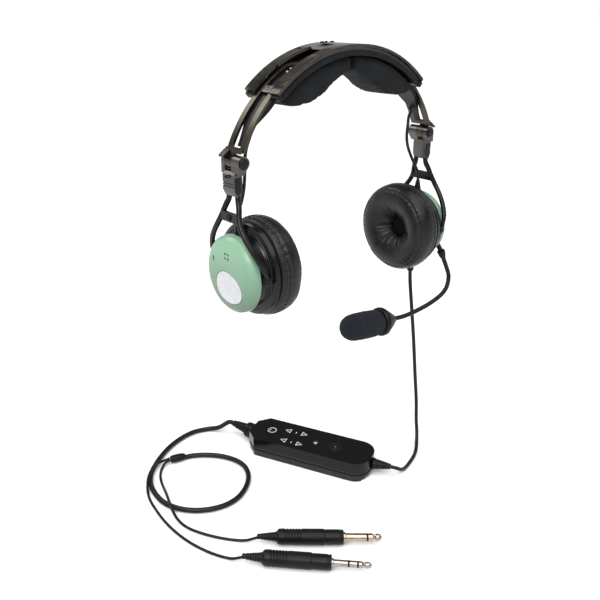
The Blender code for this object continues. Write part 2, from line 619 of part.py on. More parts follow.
# ---------------------------------------------------------------- cords
MAIN_ROUTE = [(0.0920, -0.0030, -0.0443), (0.0920, -0.0038, -0.0550), (0.0925, -0.0076, -0.0820),
              (0.0938, -0.0110, -0.1110), (0.0960, -0.0140, -0.1480), (0.0975, -0.0168, -0.1780),
              (0.0970, -0.0190, -0.1990), (0.0945, -0.0228, -0.2105), (0.0882, -0.0285, -0.2170),
              (0.0790, -0.0355, -0.2183), (0.0700, -0.0405, -0.2183), (0.0600, -0.0444, -0.2183),
              (0.0505, -0.0474, -0.2180), (0.0425, -0.0492, -0.2156),
              on_module(MODULE_HALF + 0.0213, 0.0058, -0.2112).translation,
              on_module(MODULE_HALF + 0.0173, 0.0050, -0.2107).translation]
PLUG_ROUTE = [on_module(-MODULE_HALF - 0.0266, 0.0063, -0.2087).translation,
              on_module(-MODULE_HALF - 0.0322, 0.0072, -0.2092).translation, (-0.0460, 0.1180, -0.2150),
              (-0.0530, 0.1260, -0.2176), (-0.0680, 0.1310, -0.2176), (-0.0860, 0.1290, -0.2176),
              (-0.1058, 0.1210, -0.2176), (-0.1290, 0.1045, -0.2176), (-0.1415, 0.0880, -0.2176),
              (-0.1467, 0.0689, -0.2176), (-0.1460, 0.0520, -0.2176), (-0.1390, 0.0370, -0.2176),
              (-0.1275, 0.0256, -0.2176), (-0.1120, 0.0186, -0.2176), (-0.0966, 0.0184, -0.2176),
              (-0.0825, 0.0246, -0.2176), (-0.0700, 0.0360, -0.2176), (-0.0632, 0.0500, -0.2176),
              (-0.0635, 0.0640, -0.2176), (-0.0700, 0.0785, -0.2176), (-0.0800, 0.0900, -0.2176),
              (-0.0905, 0.0975, -0.2176), (-0.0977, 0.1003, -0.2176)]
SPLITTER_START = Vector((-0.0980, 0.1004, -0.2176))
SPLITTER_HEADING = Vector((-0.955, 0.297, 0.0)).normalized()
SPLITTER_LENGTH = 0.0130


def cord_gland():
    """The strain relief at the bottom of the left cup."""
    profile = [(0, 0.0010), (0.0040, 0.0010), (0.0040, -0.0022), (0.0032, -0.0030), (0.0030, -0.0070),
               (0, -0.0070)]
    place = Matrix.Translation((0.0920, -0.0030, -0.0370))
    turned("main_cord_gland", profile, BLACK_PLASTIC, place, 16)


def main_cord():
    tube("main_cord", smooth_route(MAIN_ROUTE, 0.0066), MAIN_CORD / 2, CORD)


def plug_cord():
    tube("plug_cord", smooth_route(PLUG_ROUTE, 0.0088), PLUG_CORD / 2, CORD)


def cord_splitter():
    """The moulded joint where the plug cord parts into two leads."""
    long = SPLITTER_LENGTH
    profile = [(0, long), (0.0033, long), (0.0038, long - 0.0015), (0.0040, 0.0040), (0.0034, GAP),
               (0, GAP)]
    cone = turned("cord_splitter", profile, BLACK_PLASTIC,
                  along(SPLITTER_START + Vector((0, 0, 0.0017)), SPLITTER_HEADING), 16)
    floor = [(-0.02, -0.02), (0.02, -0.02), (0.02, 0.02), (-0.02, 0.02)]
    place = Matrix.Translation((*SPLITTER_START.xy, FLOOR - 0.0020 + 0.0001))
    cut(cone, plate("splitter_floor", [floor], 0.0040, BLACK_PLASTIC, place, CUTTERS))


LEAD_HIGH = FLOOR + PLUG_CORD + LEAD_CORD / 2 + 0.0010   # a lead's middle where it rides over the plug cord
LEAD_LOW = FLOOR + LEAD_CORD / 2 + 0.0001

PHONES_LEAD = [(-0.1115, 0.1030, -0.2159), (-0.1168, 0.1036, -0.2170), (-0.1229, 0.0998, LEAD_LOW),
               (-0.1290, 0.0920, LEAD_LOW), (-0.1330, 0.0835, LEAD_LOW), (-0.1362, 0.0740, -0.2180),
               (-0.1405, 0.0620, -0.2148), (-0.1448, 0.0500, LEAD_HIGH), (-0.1478, 0.0400, -0.2148),
               (-0.1490, 0.0290, -0.2180), (-0.1478, 0.0170, LEAD_LOW), (-0.1430, 0.0040, LEAD_LOW),
               (-0.1360, -0.0085, LEAD_LOW), (-0.1280, -0.0195, LEAD_LOW), (-0.1205, -0.0280, -0.2180),
               (-0.1150, -0.0337, -0.2150)]
MIC_LEAD = [(-0.1107, 0.1060, -0.2159), (-0.1175, 0.1072, -0.2166), (-0.1262, 0.1045, -0.2142),
            (-0.1350, 0.0975, LEAD_HIGH), (-0.1425, 0.0900, -0.2142), (-0.1490, 0.0800, -0.2178),
            (-0.1535, 0.0680, LEAD_LOW), (-0.1562, 0.0530, LEAD_LOW), (-0.1580, 0.0370, LEAD_LOW),
            (-0.1580, 0.0190, LEAD_LOW), (-0.1558, 0.0010, LEAD_LOW), (-0.1515, -0.0150, LEAD_LOW),
            (-0.1465, -0.0270, LEAD_LOW), (-0.1410, -0.0370, -0.2180), (-0.1370, -0.0432, -0.2150)]


def leads():
    for name, route in (("phones_lead", PHONES_LEAD), ("mic_lead", MIC_LEAD)):
        tube(name, smooth_route(route, 0.0052), LEAD_CORD / 2, CORD)


# ---------------------------------------------------------------- plugs
PLUG_LIE = FLOOR + 0.0066       # height of a plug's axis as it lies on its handle


def plug(name, start, end, shaft_radius, shaft_length, rings):
    """A plug lying on the surface: ribbed relief, grooved handle and shaft, thick end first."""
    start = Vector((*start, PLUG_LIE))
    heading = (Vector((*end, PLUG_LIE)) - start).normalized()
    relief, grip = 0.0165, 0.0530
    body = [(0, relief + grip), (0.0050, relief + grip), (0.0060, relief + grip - 0.0012),
            (0.0060, relief + 0.0380), (0.0064, relief + 0.0360), (0.0064, relief + 0.0050),
            (0.0058, relief + 0.0006), (0.0042, relief - 0.0004), (0.0040, relief - 0.0030),
            (0.0026, 0.0004), (0.0022, 0.0), (0, 0.0)]
    turned(f"{name}_plug_handle", body, BLACK_PLASTIC, along(start, heading), 20)
    base, radius, long = relief + grip + GAP, shaft_radius, shaft_length
    profile = [(0, base + long), (radius * 0.45, base + long - 0.0004),
               (radius * 0.98, base + long - 0.0032), (radius * 0.92, base + long - 0.0046),
               (radius * 0.66, base + long - 0.0062), (radius, base + long - 0.0076)]
    for ring in rings:
        profile += [(radius, base + ring + 0.0006), (radius * 0.93, base + ring + 0.0005),
                    (radius * 0.93, base + ring - 0.0005), (radius, base + ring - 0.0006)]
    profile += [(radius, base + 0.0015), (radius * 1.30, base + 0.0014), (radius * 1.30, base), (0, base)]
    turned(f"{name}_plug_shaft", profile, NICKEL, along(start, heading), 16)


# ---------------------------------------------------------------- control module
def module_outline(inset):
    """The casing in plan: chamfered at the plug-cord end, round at the main-cord end."""
    long, wide = MODULE_HALF - inset, MODULE_HALF_WIDTH - inset
    corner = 0.0095
    outline = [(-long, -wide + corner), (-long + corner, -wide)]
    outline += arc(long - 0.0150, -wide + 0.0150, 0.0150, -90, 0, 5)
    outline += arc(long - 0.0150, wide - 0.0150, 0.0150, 0, 90, 5)
    outline += [(-long + corner, wide), (-long, wide - corner)]
    return outline


def module_shell(name, low, high, floor_low, floor_high, finish):
    """A tray in the casing's outline, hollow from floor_low to floor_high."""
    shell = plate(name, [module_outline(0.0)], high - low, finish, on_module(0, 0, (low + high) / 2))
    hollow = plate(f"{name}_hollow", [module_outline(SHELL_WALL)], floor_high - floor_low, finish,
                   on_module(0, 0, (floor_low + floor_high) / 2), CUTTERS)
    cut(shell, hollow)
    return shell


TRIANGLE = [(0.0038, 0.0), (-0.0024, 0.0033), (-0.0024, -0.0033)]
ROUND_BUTTON = arc(0, 0, 0.0046, 0, 337.5, 15)
SMALL_BUTTON = arc(0, 0, 0.0026, 0, 330, 11)
BUTTONS = (
    ("power_button", -0.0410, 0.0, 0, ROUND_BUTTON),
    ("right_volume_up", -0.0256, 0.0056, 180, TRIANGLE),
    ("right_volume_down", -0.0099, 0.0060, 0, TRIANGLE),
    ("left_volume_up", -0.0235, -0.0108, 180, TRIANGLE),
    ("left_volume_down", -0.0080, -0.0108, 0, TRIANGLE),
    ("wireless_button", 0.0053, -0.0026, 0, SMALL_BUTTON),
)


def module_casing():
    floor = FLOOR + SHELL_WALL
    top = module_shell("module_top_shell", MODULE_SEAM + GAP, MODULE_TOP, MODULE_SEAM - 0.002,
                       MODULE_TOP - SHELL_WALL, GLOSS_PLASTIC)
    bottom = module_shell("module_bottom_shell", FLOOR, MODULE_SEAM, floor, MODULE_SEAM + 0.002,
                          BLACK_PLASTIC)
    for name, u, v, turn, outline in BUTTONS:
        hole = [(x * 1.16, y * 1.16) for x, y in outline]
        place = on_module(u, v, MODULE_TOP) @ Matrix.Rotation(math.radians(turn), 4, "Z")
        cut(top, plate(f"{name}_hole", [hole], 0.006, GLOSS_PLASTIC, place, CUTTERS))
    opening = [(0.0030, -0.0143), (0.0710, -0.0143), (0.0710, 0.0143), (0.0030, 0.0143)]
    cut(bottom, plate("door_opening", [opening], 0.0040, BLACK_PLASTIC,
                      on_module(0, 0, floor + 0.0001 - 0.0020), CUTTERS))
    return top, bottom


def module_buttons():
    low, high = MODULE_TOP - BUTTON_STEM, MODULE_TOP + BUTTON_RISE
    for name, u, v, turn, outline in BUTTONS:
        place = on_module(u, v, (low + high) / 2) @ Matrix.Rotation(math.radians(turn), 4, "Z")
        plate(name, [outline], high - low, BLACK_PLASTIC, place)


def module_insides():
    """The circuit board, two cells and the door below them."""
    board = [(-0.0510, -0.0090), (-0.0460, -0.0140), (-0.0010, -0.0140), (-0.0010, 0.0140),
             (-0.0460, 0.0140), (-0.0510, 0.0090)]
    plate("module_board", [board], 0.0016, BOARD, on_module(0, 0, -0.2092))
    cells = []
    for row, group in ((-0.0068, PARTS), (0.0068, CUTTERS)):
        place = on_module(0.0250, row, -0.2110) @ Matrix.Rotation(math.pi / 2, 4, "Y")
        cells.append(rod("battery_cells", CELL_RADIUS, CELL_LENGTH, STEEL, place, 16, group))
    strap = [(-0.0010, -0.0045), (0.0010, -0.0045), (0.0010, 0.0045), (-0.0010, 0.0045)]
    cells.append(plate("cell_strap", [strap], 0.0060, STEEL, on_module(0.0470, 0, -0.2110), CUTTERS))
    join(*cells)
    door = [(0.0034, -0.0140), (0.0550, -0.0140), (0.0580, -0.0100), (0.0580, 0.0100), (0.0550, 0.0140),
            (0.0034, 0.0140)]
    plate("battery_door", [door], 0.0013, BLACK_PLASTIC, on_module(0, 0, FLOOR + 0.00065))


def module_reliefs():
    """Ribbed, tapered strain reliefs, with a collar at the plug-cord end."""
    cord_end = [(0, 0.0150), (0.0022, 0.0150), (0.0026, 0.0130), (0.0052, 0.0020), (0.0056, GAP), (0, GAP)]
    turned("main_cord_relief", cord_end, BLACK_PLASTIC,
           on_module(MODULE_HALF + 0.0016, 0.0020, -0.2100) @ along((0, 0, 0), (0.98, 0.19, -0.04)), 16)
    plug_end = [(0, 0.0242), (0.0028, 0.0242), (0.0032, 0.0215), (0.0056, 0.0090), (0.0070, 0.0086),
                (0.0075, 0.0050), (0.0075, GAP), (0, GAP)]
    turned("plug_cord_relief", plug_end, BLACK_PLASTIC,
           on_module(-MODULE_HALF - 0.0018, 0.0020, -0.2094) @ along((0, 0, 0), (-0.985, 0.17, 0.03)), 16)


# ---------------------------------------------------------------- assembly
def build():
    headband_frame()
    pad_carrier()
    head_pads()
    for name, side in SIDES:
        slider_stop(name, side)
        slider_strip(name, side)
        slider_foot(name, side)
        hinge_pin(name, side)
        yoke_block(name, side)
        yoke_frame(name, side)
        pivot_screws(name, side)
        ear_pad(name, side)
        speaker(name, side)
        cup_housing(name, side)
        cup_cover(name, side)
        cup_badge(name, side)
        crossover_cable(name, side)
    boom()
    cord_gland()
    main_cord()
    module_casing()
    module_buttons()
    module_insides()
    module_reliefs()
    plug_cord()
    cord_splitter()
    leads()
    plug("phones", (-0.1140, -0.0345), (-0.0386, -0.1009), 0.00318, 0.0307, (0.0190,))
    plug("mic", (-0.1360, -0.0442), (-0.0672, -0.1165), 0.00262, 0.0307, (0.0200, 0.0130))
    bpy.context.view_layer.update()


build()
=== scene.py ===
"""Looks of the on-ear aviation headset and its cord set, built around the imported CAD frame.

Metres, in the frame's own axes: the origin is between the ears, +X the wearer's left, -Y forward.
"""

import math

import bmesh
import bpy
from mathutils import Matrix, Vector, noise


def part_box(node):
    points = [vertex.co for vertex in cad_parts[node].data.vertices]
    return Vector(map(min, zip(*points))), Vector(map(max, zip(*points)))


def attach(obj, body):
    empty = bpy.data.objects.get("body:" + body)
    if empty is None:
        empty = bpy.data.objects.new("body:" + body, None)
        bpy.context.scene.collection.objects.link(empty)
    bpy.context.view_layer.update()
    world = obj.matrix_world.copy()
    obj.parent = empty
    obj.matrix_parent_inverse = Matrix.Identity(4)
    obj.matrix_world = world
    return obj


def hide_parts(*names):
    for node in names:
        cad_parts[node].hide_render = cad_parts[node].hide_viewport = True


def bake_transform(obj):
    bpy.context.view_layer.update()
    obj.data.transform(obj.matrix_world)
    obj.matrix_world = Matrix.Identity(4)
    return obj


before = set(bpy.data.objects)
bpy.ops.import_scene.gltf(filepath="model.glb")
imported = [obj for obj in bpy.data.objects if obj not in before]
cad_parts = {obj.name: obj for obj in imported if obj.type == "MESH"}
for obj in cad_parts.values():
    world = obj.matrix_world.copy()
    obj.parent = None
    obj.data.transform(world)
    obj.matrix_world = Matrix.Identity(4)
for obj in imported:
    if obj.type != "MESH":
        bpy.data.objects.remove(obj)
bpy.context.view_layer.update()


# ---------------------------------------------------------------- places taken from the frame
def middle(node):
    """The middle of a CAD node's box."""
    low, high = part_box(node)
    return (low + high) / 2


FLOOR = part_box("module_bottom_shell")[0].z
BAND_LOW, BAND_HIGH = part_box("headband_frame")
ARC_Z = 0.0445                                  # height of the band's axis, which runs along Y
BAND_THICK = 0.0020
BAND_RADIUS = BAND_HIGH.z - BAND_THICK / 2 - ARC_Z
BAND_HALF_WIDTH = BAND_HIGH.y
BAND_END = math.degrees(math.atan2(BAND_LOW.z - ARC_Z, BAND_HIGH.x)) + 0.6
RAIL_INNER = 0.0092
BRIDGE_HALF = 0.021
CARRIER_RADIUS = BAND_RADIUS - 0.00625
CARRIER_THICK = 0.0015
CARRIER_END = 48.6
CHANNEL_Y = 0.0155
CHANNEL_THICK = 0.0016
PAD_RADIUS_OUT = BAND_RADIUS - 0.0073
PAD_HALF_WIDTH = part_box("left_head_pad")[1].y
SLIDER_RADIUS = BAND_RADIUS - 0.0031
SLIDER_THICK = 0.0020
SLIDER_HALF_WIDTH = 0.0096
SLOT_HALF_WIDTH = 0.0046
SLIDER_LOW, SLIDER_HIGH = 23.7, 67.2
SLOT_LOW, SLOT_HIGH = 25.4, 65.0
STOP_LOW, STOP_HIGH = 48.6, 52.2
STOP_HALF_WIDTH = 0.0039
FLANGE_LOW, FLANGE_HIGH = 23.1, 24.9            # the foot's folded lip, across the strip's end
FLANGE_THICK, FLANGE_HALF_WIDTH = 0.0019, 0.0088
HINGE = middle("left_hinge_pin")
HINGE_RADIUS = 0.0050
HINGE_REACH = 0.0100
LUG_FRONT, LUG_REAR = -0.0055, 0.0012
BLOCK_X = (0.0970, 0.1042)
BLOCK_HALF_WIDTH = 0.0067
BLOCK_TOP, BLOCK_BOTTOM = 0.0745, 0.0573
PIVOT = middle("left_front_pivot_screw")
PIVOT.y = 0
PIVOT_Y = 0.0300
EYE_THICK = 0.0024
EYE_RADIUS = 0.0035
LEG_RADIUS = 0.0021
PAD_FACE_X, PAD_BACK_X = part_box("left_ear_pad")[0].x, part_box("left_ear_pad")[1].x
CUP_FACE_X, CUP_BACK_X = 0.0859, 0.0994
COVER_FACE_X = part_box("left_cup_cover")[1].x
COVER_Z = middle("left_cup_cover").z
MODULE_HEADING = -65.1
MODULE_HALF, MODULE_HALF_WIDTH = 0.0612, 0.0190
MODULE_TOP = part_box("module_top_shell")[1].z
MODULE_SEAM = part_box("module_bottom_shell")[1].z
GAP = 0.0003

LEFT = Matrix.Identity(4)
RIGHT = Matrix.Rotation(math.pi, 4, "Z")
SIDES = (("left", LEFT), ("right", RIGHT))
ROWS = (("front", -1), ("rear", 1))             # and the sign of their Y on the left side
FRONT = {"left": -1, "right": 1}                # the sign of a cup's own Y towards the front
UPRIGHT = Matrix.Rotation(math.pi / 2, 4, "X")          # a flat outline's (x, y) becomes (X, Z)
SIDEWAYS = Matrix(((0, 0, 1, 0), (1, 0, 0, 0), (0, 1, 0, 0), (0, 0, 0, 1)))  # (x, y) becomes (Y, Z)
MODULE = (Matrix.Translation((-0.0043, 0.0241, 0.0))
          @ Matrix.Rotation(math.radians(MODULE_HEADING), 4, "Z"))
ROOT = "left_yoke"


# ---------------------------------------------------------------- camera and light
CAMERA_TURN, CAMERA_RISE = -40.73, 22.86        # degrees: round to the wearer's right, above level
CAMERA_BACK, CAMERA_LEFT, CAMERA_DOWN = 0.57207, 0.0294, 0.04581
SKY_POWER, SKY_SPREAD = 3.3, 70                 # a sun this many degrees wide
WHITE_UP_TO, DIM_FROM, DIM = 0.15, 0.40, 0.20   # sines of two elevations, and the strength above them
FLOOR_REACH = 40.0


def linked(name, data):
    """A new object with this data, in the scene."""
    made = bpy.data.objects.new(name, data)
    bpy.context.scene.collection.objects.link(made)
    return made


def camera():
    """A camera in front of the headset, to the wearer's right and above."""
    turn, rise = math.radians(CAMERA_TURN), math.radians(CAMERA_RISE)
    back = Vector((math.sin(turn) * math.cos(rise), -math.cos(turn) * math.cos(rise), math.sin(rise)))
    right = (-back).cross(Vector((0, 0, 1))).normalized()
    up = back.cross(right)
    data = bpy.data.cameras.new("camera")
    data.lens, data.sensor_width = 42, 36
    data.clip_start, data.clip_end = 0.02, 20
    made = linked("camera", data)
    place = Matrix((right, up, back)).transposed().to_4x4()
    place.translation = back * CAMERA_BACK - right * CAMERA_LEFT - up * CAMERA_DOWN
    made.matrix_world = place
    bpy.context.scene.camera = made


def area_light(name, position, target, size, power):
    """A square lamp, aimed at a target."""
    data = bpy.data.lights.new(name, "AREA")
    data.size = size
    data.energy = power
    aim = (Vector(target) - Vector(position)).to_track_quat("-Z", "Y").to_matrix().to_4x4()
    linked(name, data).matrix_world = Matrix.Translation(position) @ aim


def eased(tree, value, low, high, start, end):
    """A node's output that goes from low to high as the value goes from start to end."""
    made = tree.nodes.new("ShaderNodeMapRange")
    for socket, number in (("From Min", start), ("From Max", end), ("To Min", low), ("To Max", high)):
        made.inputs[socket].default_value = number
    tree.links.new(value, made.inputs["Value"])
    return made.outputs["Result"]


def studio():
    """A white floor and horizon under a dim sky, a broad soft sky light and three lamps."""
    world = bpy.data.worlds.new("surround")
    world.use_nodes = True
    nodes, links = world.node_tree.nodes, world.node_tree.links
    heading = nodes.new("ShaderNodeSeparateXYZ")
    links.new(nodes.new("ShaderNodeTexCoord").outputs["Generated"], heading.inputs["Vector"])
    fade = eased(world.node_tree, heading.outputs["Z"], 1.0, DIM, WHITE_UP_TO, DIM_FROM)
    links.new(fade, nodes["Background"].inputs["Strength"])
    nodes["Background"].inputs["Color"].default_value = (1.0, 1.0, 1.0, 1)
    bpy.context.scene.world = world
    bpy.context.scene.view_settings.view_transform = "Standard"
    sky = bpy.data.lights.new("sky", "SUN")
    sky.energy, sky.angle = SKY_POWER, math.radians(SKY_SPREAD)
    aim = Vector((-0.25, -0.35, 1.0)).to_track_quat("Z", "Y").to_matrix().to_4x4()
    linked("sky", sky).matrix_world = aim
    area_light("key", (-0.9, -0.45, 0.75), (-0.03, 0, 0.02), 0.35, 5.0)
    area_light("rim", (0.80, -0.30, 0.85), (0, 0, 0.05), 0.5, 1.6)
    area_light("back", (-0.33, 0.84, 0.88), (0, 0, 0.10), 0.5, 4.5)
    mesh = bpy.data.meshes.new("floor")
    corners = [(x * FLOOR_REACH, y * FLOOR_REACH, 0) for x, y in ((-1, -1), (1, -1), (1, 1), (-1, 1))]
    mesh.from_pydata(corners, [], [(0, 1, 2, 3)])
    floor = linked("floor", mesh)
    floor.location.z = FLOOR - 0.0004
    paint = bpy.data.materials.new("floor_white")
    paint.use_nodes = True
    shader = paint.node_tree.nodes["Principled BSDF"]
    shader.inputs["Base Color"].default_value = (0.93, 0.93, 0.93, 1)
    shader.inputs["Roughness"].default_value = 0.9
    mesh.materials.append(paint)


# ---------------------------------------------------------------- materials
class Finish:
    """A Principled material whose colour, roughness and bump come from procedural nodes."""

    def __init__(self, name, colour, roughness, metallic=0.0, **sockets):
        self.material = bpy.data.materials.new(name)
        self.material.use_nodes = True
        self.tree = self.material.node_tree
        self.nodes, self.links = self.tree.nodes, self.tree.links
        self.shader = self.nodes["Principled BSDF"]
        self.colour, self.roughness = colour, roughness
        self.set("Base Color", (*colour, 1.0))
        self.set("Roughness", roughness)
        self.set("Metallic", metallic)
        for socket, value in sockets.items():
            self.set(socket.replace("_", " "), value)
        self.place = self.nodes.new("ShaderNodeTexCoord").outputs["Object"]
        self.bump = None

    def set(self, socket, value):
        """Gives a socket of the Principled shader a fixed value."""
        self.shader.inputs[socket].default_value = value

    def stretched(self, scale):
        """The object's coordinates stretched along its axes."""
        mapping = self.nodes.new("ShaderNodeMapping")
        mapping.inputs["Scale"].default_value = scale
        self.links.new(self.place, mapping.inputs["Vector"])
        return mapping.outputs["Vector"]

    def texture(self, kind, place=None, **sockets):
        """A texture node over the object's coordinates, or over a place of its own."""
        made = self.nodes.new("ShaderNodeTex" + kind)
        for socket, value in sockets.items():
            made.inputs[socket].default_value = value
        self.links.new(place or self.place, made.inputs["Vector"])
        return made

    def noise(self, scale, detail=3.0, rough=0.55, place=None):
        """Soft clouds, as a value about 0.5."""
        return self.texture("Noise", place, Scale=scale, Detail=detail, Roughness=rough).outputs["Fac"]

    def cells(self, scale, feature="F1"):
        """Rounded cells, as a distance from each one's middle or edge."""
        made = self.texture("Voronoi", Scale=scale)
        made.feature = feature
        return made.outputs["Distance"]

    def waves(self, scale, direction, distortion):
        """Parallel bands that follow each other along an axis."""
        made = self.texture("Wave", Scale=scale, Distortion=distortion)
        made.bands_direction = direction
        return made.outputs["Fac"]

    def vary_roughness(self, value, amount, start=0.35, end=0.65):
        """The roughness goes this far below and above its own as the value rises."""
        low, high = self.roughness - amount, self.roughness + amount
        self.links.new(eased(self.tree, value, low, high, start, end), self.shader.inputs["Roughness"])

    def vary_colour(self, value, dark, light, start=0.35, end=0.65):
        """The colour goes from dark to light times itself as the value rises."""
        made = self.nodes.new("ShaderNodeMix")
        made.data_type = "RGBA"
        made.inputs[6].default_value = (*[c * dark for c in self.colour], 1)
        made.inputs[7].default_value = (*[min(1.0, c * light) for c in self.colour], 1)
        self.links.new(eased(self.tree, value, 0, 1, start, end), made.inputs["Factor"])
        self.links.new(made.outputs[2], self.shader.inputs["Base Color"])

    def raise_by(self, value, height, strength):
        """Adds a bump of this height, in metres, on top of those before it."""
        made = self.nodes.new("ShaderNodeBump")
        made.inputs["Distance"].default_value = height
        made.inputs["Strength"].default_value = strength
        self.links.new(value, made.inputs["Height"])
        if self.bump:
            self.links.new(self.bump, made.inputs["Normal"])
        self.bump = made.outputs["Normal"]
        self.links.new(self.bump, self.shader.inputs["Normal"])


def bronze():
    """Bronze-tinted metal, brushed along the band, duller in patches and lighter and darker in soft clouds.
    """
    made = Finish("bronze_metal", (0.066, 0.058, 0.045), 0.32, 1.0)
    brushed = made.noise(420, 2, 0.5, made.stretched((0.5, 6.0, 0.5)))
    made.vary_roughness(made.noise(60, 4), 0.05)
    made.vary_colour(made.noise(30, 3), 0.86, 1.14)
    made.raise_by(brushed, 0.000006, 0.4)
    return made.material


def grey_metal():
    """Lavender-grey anodised metal with a fine blasted grain."""
    made = Finish("grey_metal", (0.062, 0.059, 0.068), 0.38, 1.0)
    made.vary_roughness(made.noise(60, 4), 0.08)
    made.vary_colour(made.noise(30, 3), 0.88, 1.08)
    made.raise_by(made.noise(2600, 2), 0.00002, 0.5)
    return made.material


def block_metal():
    """Darker cast metal with a satin top coat, cloudy at the scale of a few millimetres."""
    made = Finish("cast_grey", (0.090, 0.086, 0.082), 0.33, 1.0)
    made.vary_roughness(made.noise(90, 4), 0.08)
    made.vary_colour(made.noise(45, 3), 0.8, 1.2)
    made.raise_by(made.noise(1400, 3), 0.00004, 0.6)
    return made.material


def black_metal():
    """Black powder coat on steel: a soft gloss over a faint orange peel."""
    made = Finish("black_metal", (0.005, 0.005, 0.006), 0.26, 0.0, Specular_IOR_Level=0.20)
    made.vary_roughness(made.noise(70, 4), 0.07)
    made.raise_by(made.noise(900, 2), 0.00005, 0.5)
    return made.material


def black_plastic():
    """Moulded black plastic with a spark-eroded grain."""
    made = Finish("black_plastic", (0.005, 0.005, 0.0055), 0.38, 0.0, Specular_IOR_Level=0.16)
    made.vary_roughness(made.noise(80, 4), 0.07)
    made.vary_colour(made.noise(40, 3), 0.85, 1.25)
    made.raise_by(made.noise(2200, 3), 0.00005, 0.5)
    return made.material


def gloss_plastic(name="gloss_plastic", colour=(0.004, 0.004, 0.0045), roughness=0.13):
    """Polished black plastic with a faint ripple and hair marks."""
    made = Finish(name, colour, roughness, 0.0, Specular_IOR_Level=0.22)
    made.vary_roughness(made.noise(55, 5), 0.05)
    made.raise_by(made.noise(120, 2), 0.00006, 0.3)
    made.raise_by(made.noise(900, 2, 0.5, made.stretched((1, 0.05, 1))), 0.000008, 0.4)
    return made.material


def shell_grey():
    """The module's lower shell: warm grey-brown satin plastic."""
    made = Finish("shell_grey", (0.014, 0.013, 0.012), 0.30, 0.0, Specular_IOR_Level=0.30)
    made.vary_roughness(made.noise(80, 4), 0.07)
    made.vary_colour(made.noise(50, 3), 0.85, 1.15)
    made.raise_by(made.noise(1600, 3), 0.00005, 0.5)
    return made.material


def green_cover():
    """Sage green satin lacquer, with painted light and shade: paler towards the top of the cup and darker
    towards its bottom.
    """
    made = Finish("green_cover", (0.155, 0.285, 0.186), 0.36, 0.0, Coat_Weight=0.15, Coat_Roughness=0.25)
    parts = made.nodes.new("ShaderNodeSeparateXYZ")
    made.links.new(made.place, parts.inputs["Vector"])
    # painted light and shade: the green darkens towards the bottom of the cup and pales towards its top, as
    # the light falls
    made.vary_colour(parts.outputs["Z"], 0.36, 1.26, -0.034, 0.022)
    made.vary_roughness(made.noise(60, 4), 0.05)
    made.raise_by(made.noise(700, 3), 0.00004, 0.4)
    return made.material


def badge_silver():
    """A pale silver plate, finely brushed."""
    made = Finish("badge_silver", (0.47, 0.48, 0.50), 0.30, 0.20, Coat_Weight=0.3, Coat_Roughness=0.15)
    made.vary_roughness(made.noise(90, 3), 0.06)
    made.vary_colour(made.noise(150, 3), 0.94, 1.05)
    made.raise_by(made.noise(900, 2, 0.5, made.stretched((1, 8, 0.5))), 0.00001, 0.5)
    return made.material


def leatherette():
    """Black leatherette: a pebbled grain, fine pores and a sheen that is duller in soft patches."""
    made = Finish("leatherette", (0.0050, 0.0055, 0.0065), 0.36, 0.0, Specular_IOR_Level=0.25)
    made.vary_colour(made.noise(55, 4), 0.75, 1.3)
    made.vary_roughness(made.noise(110, 4), 0.09)
    made.raise_by(made.cells(1500), 0.00012, 0.45)
    made.raise_by(made.noise(520, 4), 0.00007, 0.40)
    made.raise_by(made.noise(110, 3), 0.0002, 0.25)
    return made.material


def knit():
    """The head pads' close black knit: fine ribs along the band crossed by finer courses."""
    made = Finish("pad_fabric", (0.0050, 0.0056, 0.0062), 0.92, 0.0, Sheen_Weight=0.03, Sheen_Roughness=0.6,
                  Specular_IOR_Level=0.2)
    made.set("Sheen Tint", (0.55, 0.6, 0.65, 1))
    made.vary_colour(made.noise(90, 4), 0.7, 1.35)
    made.raise_by(made.waves(420, "Y", 1.2), 0.00022, 0.6)
    made.raise_by(made.waves(420, "X", 1.2), 0.00018, 0.5)
    made.raise_by(made.noise(1500, 3), 0.00015, 0.5)
    return made.material


def foam():
    """Open-cell foam: crowded pits of many sizes, with painted shade darkening the bottom of each pit."""
    made = Finish("mic_foam", (0.0060, 0.0072, 0.0100), 1.0, 0.0, Sheen_Weight=0.03, Sheen_Roughness=0.7,
                  Specular_IOR_Level=0.2)
    made.set("Sheen Tint", (0.5, 0.56, 0.68, 1))
    # painted shade: the colour darkens towards each pit's middle, where the bump below sinks
    made.vary_colour(made.cells(1100), 0.35, 1.5, 0.1, 0.6)
    made.raise_by(made.cells(1100), 0.0005, 0.8)
    made.raise_by(made.cells(2600), 0.0002, 0.6)
    return made.material


def cord_jacket():
    """Satin black cord jacket, faintly uneven along its length."""
    made = Finish("cord_jacket", (0.0060, 0.0060, 0.0060), 0.38, 0.0, Specular_IOR_Level=0.22)
    made.vary_roughness(made.noise(120, 4), 0.08)
    made.vary_colour(made.noise(60, 3), 0.8, 1.3)
    made.raise_by(made.noise(700, 3), 0.00008, 0.5)
    return made.material


def circuit_board():
    """Green board, with copper tracks as lines between cells."""
    made = Finish("circuit_board", (0.02, 0.15, 0.06), 0.45)
    made.vary_colour(made.cells(420, "DISTANCE_TO_EDGE"), 0.6, 1.3, 0.0, 0.2)
    made.raise_by(made.cells(420, "DISTANCE_TO_EDGE"), 0.00005, 0.5)
    return made.material


def plated_brass(name, colour):
    """Plated brass with turning marks."""
    made = Finish(name, colour, 0.20, 1.0)
    made.vary_roughness(made.noise(260, 4), 0.08)
    made.vary_colour(made.noise(180, 3), 0.9, 1.08)
    made.raise_by(made.noise(1800, 2), 0.00001, 0.4)
    return made.material


def flat_mark(name, colour, roughness):
    """A flat colour for printing ink, thread, the lamp and the painted shade of a recess, with a slight
    unevenness in its edge gloss.
    """
    made = Finish(name, colour, roughness, 0.0, Specular_IOR_Level=0.1)
    made.vary_roughness(made.noise(600, 3), 0.06)
    made.vary_colour(made.noise(900, 3), 0.92, 1.0)
    return made.material


